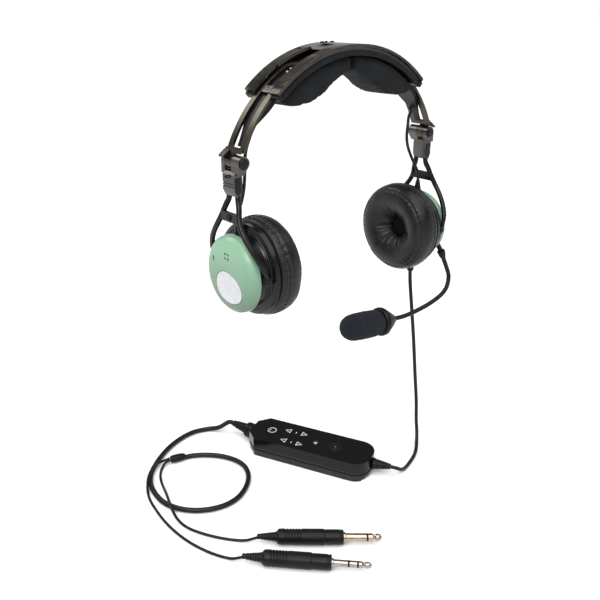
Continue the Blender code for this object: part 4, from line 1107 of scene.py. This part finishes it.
def foot(name, side, body):
    """The strip's folded end, the lug on the hinge pin, and the dark wedge in front of it."""
    outside = SLIDER_RADIUS + SLIDER_THICK / 2
    flange = band_sector(outside + GAP, outside + FLANGE_THICK, FLANGE_LOW, FLANGE_HIGH, 0.45)
    lug = arc(HINGE.x, HINGE.z, HINGE_RADIUS, -242, 50, 48)
    lug += [(0.0997, 0.0885), (0.0987, 0.0884), (0.0984, 0.0868)]
    metal = combined(upright_slab(flange, -FLANGE_HALF_WIDTH, FLANGE_HALF_WIDTH), "UNION",
                     upright_slab(lug, LUG_FRONT, LUG_REAR))
    piece(f"{name}_slider_foot_metal", metal, BRONZE, body, side, f"{name}_slider_foot", edge=0.0004)
    wedge = [(0.0985, 0.0858), (0.1048, 0.0836), (0.1054, 0.0850), (0.0996, 0.0892), (0.0988, 0.0884)]
    piece(f"{name}_foot_wedge", upright_slab(wedge, -0.0094, -0.0030), BLACK_METAL, body, side,
          edge=0.0004)


GUIDE_INNER, GUIDE_OUTER, GUIDE_HALF_WIDTH = 0.1007, 0.1047, 0.0092
GUIDE_LOW, GUIDE_HIGH = 26.2, 48.3
GUIDE_TAPER, GUIDE_FULL = 27.0, 45.0            # gathered below here, at full size from there up
GUIDE_LINE = (0.1022, 0.1028, 25.0, 50.0, 0.5)  # the sector of a shallow line cut along each side


def guide(name, side):
    """The black guide on the slider's inner side, gathered narrower and thinner towards its lower end."""
    lines = [upright_slab(band_sector(*GUIDE_LINE), sign * 0.0088, sign * 0.0100) for sign in (-1, 1)]
    strip = upright_slab(band_sector(GUIDE_INNER, GUIDE_OUTER, GUIDE_LOW, GUIDE_HIGH, 0.5),
                         -GUIDE_HALF_WIDTH, GUIDE_HALF_WIDTH)
    strip = combined(strip, "DIFFERENCE", *lines)
    for vert in strip.vertices:
        x, z = vert.co.x, vert.co.z - ARC_Z
        angle, radius = math.degrees(math.atan2(z, x)), math.hypot(x, z)
        full = min(1.0, max(0.0, (angle - GUIDE_TAPER) / (GUIDE_FULL - GUIDE_TAPER)))
        full = full * full * (3 - 2 * full)
        kept = GUIDE_OUTER - (GUIDE_OUTER - radius) * (0.45 + 0.55 * full)
        vert.co = (x * kept / radius, vert.co.y * (0.22 + 0.78 * full), ARC_Z + z * kept / radius)
    made = applied(piece(f"{name}_guide_strip", strip, PLASTIC, None, side, edge=0.0003))
    start, end = [side @ on_arc(angle, 0.1030).translation for angle in (48.0, 30.0)]
    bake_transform(made)


CABLE_FROM_GUIDE = [(0.0830, 0.0012, 0.1014), (0.0845, 0.0013, 0.0982)]
CABLE_PAST_HINGE = {
    "left": [(0.0826, 0.0014, 0.0940), (0.0822, 0.0015, 0.0870), (0.0815, 0.0015, 0.0790),
             (0.0832, 0.0014, 0.0700), (0.0880, 0.0008, 0.0600)],
    "right": [(0.0862, 0.0014, 0.0950), (0.0892, 0.0015, 0.0880), (0.0906, 0.0015, 0.0800),
              (0.0910, 0.0014, 0.0700), (0.0918, 0.0008, 0.0600)],
}
CABLE_TO_CUP = [(0.0932, -0.0010, 0.0500), (0.0940, -0.0026, 0.0460), (0.0940, -0.0034, 0.0425),
                (0.0940, -0.0035, 0.0385)]
CABLE_SPLIT = 0.066         # height where the cable's upper piece ends and its lower one starts


def cable(name, side):
    """The thin cable from the guide past the fold hinge into the cup, in two pieces."""
    route = smooth_route(CABLE_FROM_GUIDE + CABLE_PAST_HINGE[name] + CABLE_TO_CUP, 0.0011)
    route = [side @ p for p in route]
    split = next(i for i, p in enumerate(route) if p.z < CABLE_SPLIT)
    upper = piece(f"{name}_crossover_upper", swept(route[:split + 1], steady(CROSS_CORD / 2), 16), JACKET,
                  None, stands_for=f"{name}_crossover_cable")
    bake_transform(upper)
    lower = piece(f"{name}_crossover_lower", swept(route[split:], steady(CROSS_CORD / 2), 16), JACKET, None)
    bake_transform(lower)


# ---------------------------------------------------------------- yokes
GROOVES = ((0.0640, 0.0648), (0.0660, 0.0668))  # low and high edge of each, on the block's outer face
POCKET_Z, POCKET_LONG, POCKET_HIGH, POCKET_LEAN = 0.0712, 0.0044, 0.0012, 14


def oval(long, high, lean, count, blunt=0.0):
    """An oval's outline, turned by an angle in degrees, and blunter at one end if asked."""
    turn = math.radians(lean)
    outline = []
    for a in turns(count):
        ahead, up = long * math.cos(a), high * math.sin(a) * (1 - blunt * math.cos(a))
        outline.append((ahead * math.cos(turn) - up * math.sin(turn),
                        ahead * math.sin(turn) + up * math.cos(turn)))
    return outline


def yoke(name, side):
    """The hinge block with its plates and caps, two arms to the pivots, and the cross plate."""
    body = f"{name}_yoke"
    inner, outer = BLOCK_X
    shape = [(inner, BLOCK_BOTTOM + 0.004), (inner + 0.002, BLOCK_BOTTOM), (outer - 0.002, BLOCK_BOTTOM),
             (outer, BLOCK_BOTTOM + 0.004), (outer, BLOCK_TOP - 0.002), (outer - 0.002, BLOCK_TOP),
             (inner + 0.001, BLOCK_TOP), (inner, BLOCK_TOP - 0.001)]
    ear = arc(HINGE.x, HINGE.z, HINGE_RADIUS, -15, 195, 36)
    ear += [(inner + 0.0005, BLOCK_TOP - 0.002), (outer - 0.0015, BLOCK_TOP - 0.002)]
    block = combined(upright_slab(shape, -BLOCK_HALF_WIDTH, BLOCK_HALF_WIDTH), "UNION",
                     upright_slab(ear, LUG_REAR + GAP, HINGE_REACH),
                     upright_slab(ear, -HINGE_REACH, LUG_FRONT - GAP))
    face = Matrix.Translation((outer, 0, 0)) @ SIDEWAYS
    reach = BLOCK_HALF_WIDTH + 0.002
    tools = [slab([[(-reach, low), (reach, low), (reach, high), (-reach, high)]], 0.0012, face)
             for low, high in GROOVES]
    pocket = [(y, POCKET_Z + z) for y, z in oval(POCKET_LONG, POCKET_HIGH, POCKET_LEAN, 32)]
    block = combined(block, "DIFFERENCE", *tools, slab([pocket], 0.0020, face))
    piece(f"{name}_block_metal", block, CAST, body, side, f"{name}_yoke_block", edge=0.0004, segments=3)
    # painted shade: a black slab at the bottom of the pocket darkens the recess where shade falls
    shade = slab([pocket], 0.0008, Matrix.Translation((outer - 0.0007, 0, 0)) @ SIDEWAYS)
    piece(f"{name}_pocket_painted_shade", shade, BLACK_METAL, body, side)
    inset = [(inner + 0.0010, BLOCK_BOTTOM + 0.0042), (inner + 0.0026, BLOCK_BOTTOM + 0.0012),
             (outer - 0.0026, BLOCK_BOTTOM + 0.0012), (outer - 0.0010, BLOCK_BOTTOM + 0.0042),
             (outer - 0.0010, BLOCK_TOP - 0.0040), (inner + 0.0010, BLOCK_TOP - 0.0040)]
    for row, sign in ROWS:
        plate = upright_slab(inset, sign * (BLOCK_HALF_WIDTH - 0.0002), sign * (BLOCK_HALF_WIDTH + 0.0004))
        piece(f"{name}_block_{row}_plate", plate, BLACK_METAL, body, side, edge=0.0002)
        arm(name, row, sign, side, body)
        pivot_screw(name, row, sign, side, body)
    hinge_caps(name, side, body)
    cross = [(-0.0122, 0.0385), (0.0122, 0.0385), (0.0100, 0.0455), (-0.0100, 0.0455)]
    plate = slab([cross], 0.0034, Matrix.Translation((0.1034, 0, 0)) @ SIDEWAYS)
    piece(f"{name}_cross_plate", plate, BLACK_METAL, body, side, f"{name}_yoke_frame", edge=0.0009,
          segments=4)
    piece(f"{name}_cross_screw", screw_head(0.0026, 0.0018), BLACK_METAL, body,
          side @ facing_out(0.1050, 0, 0.0420))


ARM_POINTS = [(0.1000, 0.0050, 0.0576), (0.1003, 0.0056, 0.0540), (0.1016, 0.0080, 0.0490),
              (0.1034, 0.0102, 0.0425), (0.1046, 0.0138, 0.0360), (0.1045, 0.0192, 0.0290),
              (0.1028, 0.0252, 0.0210), (0.0996, 0.0304, 0.0118), (0.0963, 0.0320, 0.0029)]


def arm(name, row, sign, side, body):
    """A leg and arm, round in section, that ends in the pivot eye."""
    route = smooth_route([(x, sign * y, z) for x, y, z in ARM_POINTS], 0.0012)
    long = route_length(route)

    def radius(distance):
        near_end = max(0.0, (distance - long + 0.0120) / 0.0120)
        return LEG_RADIUS - 0.0005 * near_end

    piece(f"{name}_{row}_arm", swept(route, radius), BLACK_METAL, body, side)
    half = EYE_THICK / 2
    place = Matrix.Translation((PIVOT.x, sign * (PIVOT_Y + half), 0)) @ UPRIGHT
    eye = lathe([(0.0017, half), (EYE_RADIUS - 0.0004, half), (EYE_RADIUS, half - 0.0004),
                 (EYE_RADIUS, 0.0004 - half), (EYE_RADIUS - 0.0004, -half), (0.0017, -half)], 40, ring=True)
    piece(f"{name}_{row}_eye", eye, BLACK_METAL, body, side @ place, edge=0.00015)


def pivot_screw(name, row, sign, side, body):
    """A shoulder screw: the node with this name sits on this end of the tilt axis."""
    place = Matrix.Translation((PIVOT.x, sign * (PIVOT_Y + EYE_THICK), 0))
    place = place @ Matrix.Rotation(-sign * math.pi / 2, 4, "X")
    head = screw_head(0.0025, 0.0012)
    shank = lathe([(0, 0.0004), (0.0014, 0.0004), (0.0014, -0.0024), (0, -0.0024)], 24)
    piece(f"{name}_{row}_pivot_head", combined(head, "UNION", shank), BLACK_METAL, body, side @ place,
          f"{name}_{row}_pivot_screw")


def hinge_caps(name, side, body):
    """The hinge pin with a ringed cap at each end and a sleeve that shows between the ears."""
    reach = HINGE_REACH
    half = [(0, reach + 0.0017), (0.0018, reach + 0.0017), (0.0021, reach + 0.0014),
            (0.0024, reach + 0.0014), (0.0027, reach + 0.0017), (0.0034, reach + 0.0013),
            (0.0040, reach + 0.0008), (0.0040, reach), (0.0018, reach)]
    profile = half + [(r, -h) for r, h in reversed(half)]
    piece(f"{name}_hinge_caps", lathe(profile, 44), BLACK_METAL, body,
          side @ Matrix.Translation(HINGE) @ UPRIGHT, f"{name}_hinge_pin", edge=0.00012)


# ---------------------------------------------------------------- ear cups
PAD_DEPTH = PAD_BACK_X - PAD_FACE_X
SEAM_RADIUS = 0.0330        # the stitched circle on the pad's face
SIDE_SEAM = 0.0056          # height of the seam round the pad's side, from its back
PAD_SIDE = 0.034            # the pad's side is what lies beyond this radius
PAD_SEED = {"left": 4.7, "right": 9.2}
BOSS_ROOT = 0.0275          # where a pivot's boss starts, inside the cup's wall


def round_noise(turn, reach, height):
    """Noise along a circle of this reach, so that it has no seam."""
    return noise.noise(Vector((math.cos(turn) * reach, math.sin(turn) * reach, height)))


def puckered(x, y, h, seed):
    """How far a point of the cushion moves outwards and along its height."""
    r, turn = math.hypot(x, y), math.atan2(y, x)
    gather = 0.5 + 0.5 * math.cos(turn * 46 + 2.5 * round_noise(turn, 14, h * 160 + seed))
    out = lift = 0.0
    if r > PAD_SIDE:
        out -= 0.0010 * bell(h, SIDE_SEAM, 0.0006) + 0.00050 * bell(h, SIDE_SEAM, 0.0032) * gather
        out += 0.0004 * round_noise(turn, 2.6, seed)
    if h > 0.0105:
        lift -= 0.0007 * bell(r, SEAM_RADIUS, 0.0006) + 0.00035 * bell(r, SEAM_RADIUS, 0.0030) * gather
        depth = min(1.0, max(0.0, (0.0245 - r) / 0.0100))
        lift -= 0.0019 * depth * max(0.0, round_noise(turn, 5.5, seed + r * 30) + 0.05)
        lift += 0.0003 * noise.noise(Vector((x * 90, y * 90, seed)))
    return Vector((x * out / r, y * out / r, lift))


def ear_pad(name, side):
    """A leatherette cushion: stitched face seam, gathered side seam, creases into its middle."""
    profile = smooth_profile([(0.0082, 0.0085), (0.0086, 0.0112), (0.0112, 0.0146), (0.0160, 0.0185),
                              (0.0220, PAD_DEPTH - 0.0006), (0.0265, PAD_DEPTH),
                              (0.0320, PAD_DEPTH - 0.0014), (0.0362, 0.0170), (0.0380, 0.0112),
                              (0.0376, 0.0055), (0.0360, 0.0015), (0.0345, 0.0003)], 0.0006)
    profile += [(0.0330, 0.0), (0.0200, 0.0), (0.0082, 0.0)]
    pad = lathe(profile, 288, ring=True)
    for vert in pad.vertices:
        vert.co += puckered(*vert.co, PAD_SEED[name])
    place = side @ facing_head(PAD_BACK_X)
    made = piece(f"{name}_ear_cushion", pad, LEATHER, f"{name}_cup", place, f"{name}_ear_pad")
    stitches(name, place)
    # black speaker cloth, darkened further with painted shade down in the pad's hole
    cloth = lathe(smooth_profile([(0, 0.0092), (0.0050, 0.0090), (0.0084, 0.0082)], 0.0008)
                  + [(0.0084, 0.0076), (0, 0.0076)], 48)
    piece(f"{name}_speaker_cloth", cloth, DARK, f"{name}_cup", place)


def stitches(name, place):
    """Short threads that lean across the face seam and lie along both edges of the side seam."""
    lean = Matrix.Rotation(math.radians(28), 4, "Y")
    rows = [(88, Matrix.Translation((SEAM_RADIUS, 0, PAD_DEPTH - 0.0020)) @ lean),
            (96, Matrix.Translation((0.0374, 0, SIDE_SEAM - 0.0015))),
            (96, Matrix.Translation((0.0379, 0, SIDE_SEAM + 0.0015)))]
    threads = [place @ Matrix.Rotation(a, 4, "Z") @ spot for count, spot in rows for a in turns(count)]
    piece(f"{name}_pad_stitches", beads(threads, (0.00028, 0.00078, 0.00024)), THREAD, f"{name}_cup")


def housing(name, side):
    """The cup's shell with a boss for each pivot, a fine line round it, and the cable's gland."""
    body = f"{name}_cup"
    depth = CUP_BACK_X - CUP_FACE_X
    outer = [(0.0330, depth), (0.0346, depth), (0.0351, depth - 0.0006), (0.0356, 0.0120),
             (0.0353, 0.0108), (0.0342, 0.0092), (0.0322, 0.0085), (0.0296, 0.0078), (0.0287, 0.0068),
             (0.0283, 0.0045), (0.0281, 0.0012), (0.0278, 0.0002), (0.0270, 0.0), (0, 0.0)]
    inner = [(0, 0.0018), (0.0255, 0.0018), (0.0272, 0.0060), (0.0280, 0.0088), (0.0330, 0.0102)]
    length = PIVOT_Y - 0.0001 - BOSS_ROOT
    bosses = []
    for sign in (-1, 1):
        boss = lathe([(0, length / 2), (0.0028, length / 2), (0.0032, length / 2 - 0.0004),
                      (0.0032, -length / 2), (0, -length / 2)], 32)
        spot = Matrix.Translation((PIVOT.x, sign * (BOSS_ROOT + length / 2), 0))
        spot = spot @ Matrix.Rotation(-sign * math.pi / 2, 4, "X")
        bosses.append(placed(boss, facing_head(CUP_BACK_X).inverted() @ spot))
    shell = combined(lathe(inner + outer, 128), "UNION", *bosses)
    piece(f"{name}_housing_shell", shell, SATIN, body, side @ facing_head(CUP_BACK_X),
          f"{name}_cup_housing", edge=0.0002)
    line = lathe([(0.0306, 0.0084), (0.0312, 0.0084), (0.0311, 0.0076), (0.0307, 0.0076)], 128, ring=True)
    piece(f"{name}_housing_line", line, GREY, body, side @ facing_head(CUP_BACK_X))
    gland = lathe([(0, 0.0122), (0.0013, 0.0122), (0.0018, 0.0116), (0.0020, 0.0098), (0.0022, 0.0096),
                   (0.0022, 0.0080), (0.0025, 0.0078), (0.0026, 0.0060), (0.0031, 0.0054),
                   (0.0033, 0.0020), (0.0034, 0.0), (0, 0.0)], 36)
    piece(f"{name}_top_gland", gland, PLASTIC, body, side @ Matrix.Translation((0.0940, -0.0035, 0.0270)),
          edge=0.00012)


BADGE_LONG = {"left": 0.0110, "right": 0.0156}
BADGE_HIGH = 0.0115
BADGE_FORWARD = {"left": -0.0034, "right": 0.0021}
BADGE_Z = -0.0099
BADGE_LEAN = -9


def badge_outline(name, grow=0.0):
    """The badge's egg, blunter towards the back, in a cup's own (y, z)."""
    egg = oval(BADGE_LONG[name] + grow, BADGE_HIGH + grow, BADGE_LEAN, 72, 0.10)
    return [(FRONT[name] * (ahead + BADGE_FORWARD[name]), BADGE_Z + up) for ahead, up in egg]


SOUND_HOLES = (0.0006, 0.0139)      # their middle, ahead of the cup's and above its axis
SLOT_PLACE = (-0.0162, 0.0088)


def cover(name, side):
    """The green shell: bevelled rim, four sound holes, a small slot and the badge's recess."""
    body = f"{name}_cup"
    depth = COVER_FACE_X - CUP_BACK_X
    profile = smooth_profile([(0, depth), (0.0120, depth), (0.0180, depth - 0.0001),
                              (0.0226, depth - 0.0005), (0.0256, depth - 0.0015),
                              (0.0275, depth - 0.0031)], 0.0008)
    profile += smooth_profile([(0.0283, depth - 0.0040), (0.0290, 0.0042), (0.0294, 0.0014)], 0.0008)
    profile += [(0.0294, 0.0003), (0.0291, 0.0), (0.0276, 0.0), (0.0272, 0.0028), (0.0240, depth - 0.0030),
                (0, depth - 0.0024)]
    corners = [arc(0, 0, 0.0033, start, start + 52, 8) + arc(0, 0, 0.0015, start + 52, start, 6)
               for start in (20, 110, 200, 290)]
    shapes = [(SOUND_HOLES, corner) for corner in corners]
    shapes.append((SLOT_PLACE, rounded_box(0.0011, 0.0020, 0.0009)))
    face = facing_out(0).inverted() @ Matrix.Translation((depth, 0, -COVER_Z)) @ SIDEWAYS
    tools = [slab([[(y + ahead * FRONT[name], z + up) for y, z in shape]], 0.0090, face)
             for (ahead, up), shape in shapes]
    tools.append(slab([badge_outline(name, 0.0004)], 0.0020, face))
    shell = combined(lathe(profile, 144), "DIFFERENCE", *tools)
    place = side @ Matrix.Translation((0, 0, COVER_Z)) @ facing_out(CUP_BACK_X + 0.0001)
    piece(f"{name}_cover_shell", shell, GREEN, body, place, f"{name}_cup_cover", edge=0.00012)
    centre = Matrix.Translation((COVER_FACE_X - 0.0006, 0, 0)) @ SIDEWAYS
    piece(f"{name}_badge_plate", slab([badge_outline(name)], 0.0014), BADGE, body, side @ centre,
          f"{name}_cup_badge", edge=0.0004, segments=3)


# ---------------------------------------------------------------- boom microphone
BOOM_HUB = Vector((COVER_FACE_X, -0.0150, -0.0170))
BOOM_ROUTE = [(0.1112, -0.0240, -0.0300), (0.1152, -0.0256, -0.0400), (0.1178, -0.0272, -0.0490),
              (0.1140, -0.0290, -0.0585), (0.1050, -0.0300, -0.0640), (0.0900, -0.0290, -0.0690),
              (0.0750, -0.0264, -0.0728), (0.0620, -0.0244, -0.0745), (0.0502, -0.0227, -0.0742)]
MIC_START, MIC_END = Vector((0.0509, -0.02275, -0.07428)), Vector((-0.0098, -0.0210, -0.0668))


def boom():
    """Swivel, gooseneck, microphone body and foam windscreen."""
    body = "mic_boom"
    route = smooth_route(BOOM_ROUTE, 0.00035)
    start = (route[6] - route[0]).normalized()
    sleeve = lathe([(0, 0.0006), (0.0024, 0.0006), (0.0027, 0.0002), (0.0034, -0.0033), (0.0031, -0.0035),
                    (0.0031, -0.0040), (0.0035, -0.0042), (0.0036, -0.0062), (0.0033, -0.0067),
                    (0, -0.0067)], 40)
    piece("boom_sleeve_shell", sleeve, PLASTIC, body, along(route[0], start), "boom_sleeve", edge=0.00015)
    hub = lathe([(0, 0.0040), (0.0017, 0.0040), (0.0019, 0.0036), (0.0022, 0.0036), (0.0025, 0.0040),
                 (0.0038, 0.0039), (0.0045, 0.0032), (0.0046, 0.0004), (0, 0.0004)], 48)
    piece("boom_hub_cap", hub, PLASTIC, body, facing_out(*BOOM_HUB), edge=0.00015)
    neck = smooth_route([BOOM_HUB + Vector((0.0026, -0.0020, -0.0028)),
                         route[0] - start * 0.0058], 0.0008)
    piece("boom_neck", swept(neck, steady(0.0022)), PLASTIC, body)
    pitch = 0.00125
    piece("boom_gooseneck_coil",
          swept(route, lambda s: 0.00210 - 0.00016 * (0.5 + 0.5 * math.cos(2 * math.pi * s / pitch)), 20),
          BLACK_METAL, body, stands_for="boom_gooseneck")
    heading = MIC_END - MIC_START
    length = heading.length
    place = along(MIC_START, heading)
    shell = [(0, -0.0004), (0.0027, -0.0004), (0.0031, 0.0), (0.0042, 0.0018), (0.0045, 0.0024),
             (0.0058, 0.0046), (0.0062, 0.0050), (0.0090, 0.0098), (0.0093, 0.0104), (0.0102, 0.0136),
             (0.0106, 0.0142), (0.0118, 0.0148), (0.0124, 0.0158), (0.0126, 0.0172), (0.0124, 0.0188),
             (0.0118, 0.0199), (0.0108, 0.0205), (0, 0.0205)]
    piece("mic_shell", lathe(shell, 72), PLASTIC, body, place, "mic_body", edge=0.0002)
    foam = smooth_profile([(0.0002, length), (0.0042, length - 0.0006), (0.0084, length - 0.0034),
                           (0.0108, length - 0.0086), (0.0116, length - 0.0170), (0.0115, 0.0275),
                           (0.0106, 0.0216), (0.0098, 0.0207)], 0.0007)
    screen = lathe([(0, length)] + foam + [(0, 0.0204)], 96)
    for vert in screen.vertices:
        r = math.hypot(vert.co.x, vert.co.y)
        if r > 0.001:
            bump = noise.noise(vert.co * 260) * 0.00022 + noise.noise(vert.co * 900) * 0.00012
            vert.co.x *= 1 + bump / r
            vert.co.y *= 1 + bump / r
    made = piece("mic_foam_screen", screen, FOAM, body, place, "mic_windscreen")


# ---------------------------------------------------------------- control module
TRIANGLE = [(0.0038, 0.0), (-0.0024, 0.0033), (-0.0024, -0.0033)]
ROUND_BUTTON = arc(0, 0, 0.0046, 0, 352.5, 47)
SMALL_BUTTON = arc(0, 0, 0.0026, 0, 350, 35)
# Each button's place on the lid, its turn in degrees and its outline.
BUTTONS = (("power_button", -0.0410, 0.0, 0, ROUND_BUTTON),
           ("right_volume_up", -0.0256, 0.0056, 180, TRIANGLE),
           ("right_volume_down", -0.0099, 0.0060, 0, TRIANGLE),
           ("left_volume_up", -0.0235, -0.0108, 180, TRIANGLE),
           ("left_volume_down", -0.0080, -0.0108, 0, TRIANGLE),
           ("wireless_button", 0.0053, -0.0026, 0, SMALL_BUTTON))
BUTTON_RISE = 0.0003
CASING_WALL = 0.0018
PRINT_THICK = 0.00024
POWER_SPOT, RADIO_SPOT, LAMP_SPOT = (-0.0410, 0.0), (0.0053, -0.0026), (0.0250, -0.0005)


def module_outline(inset):
    """The casing in plan: chamfered at the plug-cord end, round at the main-cord end."""
    long, wide, corner = MODULE_HALF - inset, MODULE_HALF_WIDTH - inset, 0.0095
    outline = [(-long, -wide + corner), (-long + corner, -wide)]
    outline += arc(long - 0.0150, -wide + 0.0150, 0.0150, -90, 0, 20)
    outline += arc(long - 0.0150, wide - 0.0150, 0.0150, 0, 90, 20)
    outline += [(-long + corner, wide), (-long, wide - corner)]
    return outline


def prism(outline, low, high, u=0.0, v=0.0, turn=0.0):
    """An outline in the module's own (u, v), from one height up to another."""
    place = on_module(u, v, (low + high) / 2) @ Matrix.Rotation(math.radians(turn), 4, "Z")
    return slab([outline], high - low, place)


def scaled(outline, scale):
    """The outline, larger or smaller about its own origin."""
    return [(x * scale, y * scale) for x, y in outline]


def module():
    """Casing of two shells with a waist between them, the battery door and the lamp."""
    top = combined(prism(module_outline(0.0), MODULE_SEAM + 0.0002, MODULE_TOP), "DIFFERENCE",
                   prism(module_outline(CASING_WALL), MODULE_SEAM - 0.002, MODULE_TOP - CASING_WALL))
    tools = [prism(scaled(outline, 1.14), MODULE_TOP - 0.003, MODULE_TOP + 0.003, u, v, turn)
             for _, u, v, turn, outline in BUTTONS]
    groove = lathe([(0.0088, 0.0006), (0.0095, 0.0006), (0.0094, -0.0004), (0.0089, -0.0004)], 96, ring=True)
    top = combined(top, "DIFFERENCE", *tools, placed(groove, on_module(*POWER_SPOT, MODULE_TOP)))
    piece("module_lid", top, GLOSS, ROOT, stands_for="module_top_shell", edge=0.0006, segments=3)
    base = combined(prism(module_outline(0.0004), FLOOR, MODULE_SEAM), "DIFFERENCE",
                    prism(module_outline(CASING_WALL + 0.0004), FLOOR + CASING_WALL, MODULE_SEAM + 0.002),
                    prism([(0.0030, -0.0143), (0.0610, -0.0143), (0.0610, 0.0143), (0.0030, 0.0143)],
                          FLOOR - 0.002, FLOOR + 0.0025))
    piece("module_base", base, SHELL_GREY, ROOT, stands_for="module_bottom_shell", edge=0.0010, segments=3)
    waist = slab([module_outline(-0.0001), module_outline(0.0012)], 0.0012,
                 on_module(0, 0, MODULE_SEAM - 0.0026))
    piece("module_waist", waist, PLASTIC, ROOT, edge=0.0001)
    door = [(0.0034, -0.0140), (0.0550, -0.0140), (0.0580, -0.0100), (0.0580, 0.0100), (0.0550, 0.0140),
            (0.0034, 0.0140)]
    ribs = [prism([(u, -0.0080), (u + 0.0008, -0.0080), (u + 0.0008, 0.0080), (u, 0.0080)],
                  FLOOR - 0.001, FLOOR + 0.0004) for u in (0.0100, 0.0122, 0.0144, 0.0166)]
    door = combined(prism(door, FLOOR, FLOOR + 0.0013), "DIFFERENCE", *ribs)
    piece("door_panel", door, SHELL_GREY, "battery_door", stands_for="battery_door", edge=0.0002)
    lamp = lathe(smooth_profile([(0, 0.0004), (0.0008, 0.0003), (0.0011, 0.0)], 0.0003) + [(0, 0.0)], 24)
    piece("module_lamp", lamp, LENS, ROOT, on_module(*LAMP_SPOT, MODULE_TOP))
    buttons()
    module_marks()


def buttons():
    """The six caps, and the outline printed on each triangle."""
    low, high = MODULE_TOP - 0.0028, MODULE_TOP + BUTTON_RISE
    for name, u, v, turn, outline in BUTTONS:
        cap = prism(scaled(outline, 0.98), low, high, u, v, turn)
        piece(f"{name}_cap", cap, PLASTIC, name, stands_for=name, edge=0.0003, segments=3)
        if outline is TRIANGLE:
            place = on_module(u, v, high) @ Matrix.Rotation(math.radians(turn), 4, "Z")
            line = slab([scaled(TRIANGLE, 0.95), scaled(TRIANGLE, 0.70)], PRINT_THICK, place)
            piece(f"{name}_mark", line, INK, name)


def module_marks():
    """The power sign, the radio arcs, the bars between the triangles, and the lamp's rings."""
    high = MODULE_TOP + BUTTON_RISE
    ring = arc(0, 0, 0.0043, 118, 422, 48) + arc(0, 0, 0.0037, 422, 118, 48)
    bar = [(-0.0003, 0.0012), (0.0003, 0.0012), (0.0003, 0.0048), (-0.0003, 0.0048)]
    place = on_module(*POWER_SPOT, high) @ Matrix.Rotation(math.pi / 2, 4, "Z")
    sign = [slab([shape], PRINT_THICK, place) for shape in (ring, bar)]
    piece("power_sign", merged(*sign), INK, "power_button")
    bows = [arc(-0.0018, 0, reach, -38, 38, 12) + arc(-0.0018, 0, reach - 0.0005, 38, -38, 12)
            for reach in (0.0011, 0.0024, 0.0037)]
    sign = [slab([bow], PRINT_THICK, on_module(*RADIO_SPOT, high)) for bow in bows]
    piece("wireless_sign", merged(*sign), INK, "wireless_button")
    bars = [slab([rounded_box(0.0003, 0.0013, 0.0002, 2)], 0.00016, on_module(u, v, MODULE_TOP))
            for u, v in ((-0.0178, 0.0058), (-0.0158, -0.0108))]
    piece("volume_bars", merged(*bars), INK, ROOT)
    circle = arc(0, 0, 1, 0, 360, 64)[:-1]
    rings = [slab([scaled(circle, size), scaled(circle, size - 0.0003)], 0.00014,
                  on_module(*LAMP_SPOT, MODULE_TOP)) for size in (0.0058, 0.0036)]
    piece("casing_rings", merged(*rings), GREY, ROOT)


# ---------------------------------------------------------------- assembly
def build():
    """Everything, with what the two sides share made first."""
    camera()
    cord_set()
    studio()
    headband()
    boom()
    module()
    for name, side in SIDES:
        slider_stop(name, side)
        head_pad(name, side)
        slider(name, side)
        yoke(name, side)
        ear_pad(name, side)
        housing(name, side)
        cover(name, side)
        repaint(f"{name}_speaker", PLASTIC)
    repaint("module_board", BOARD)
    repaint("battery_cells", NICKEL)


build()
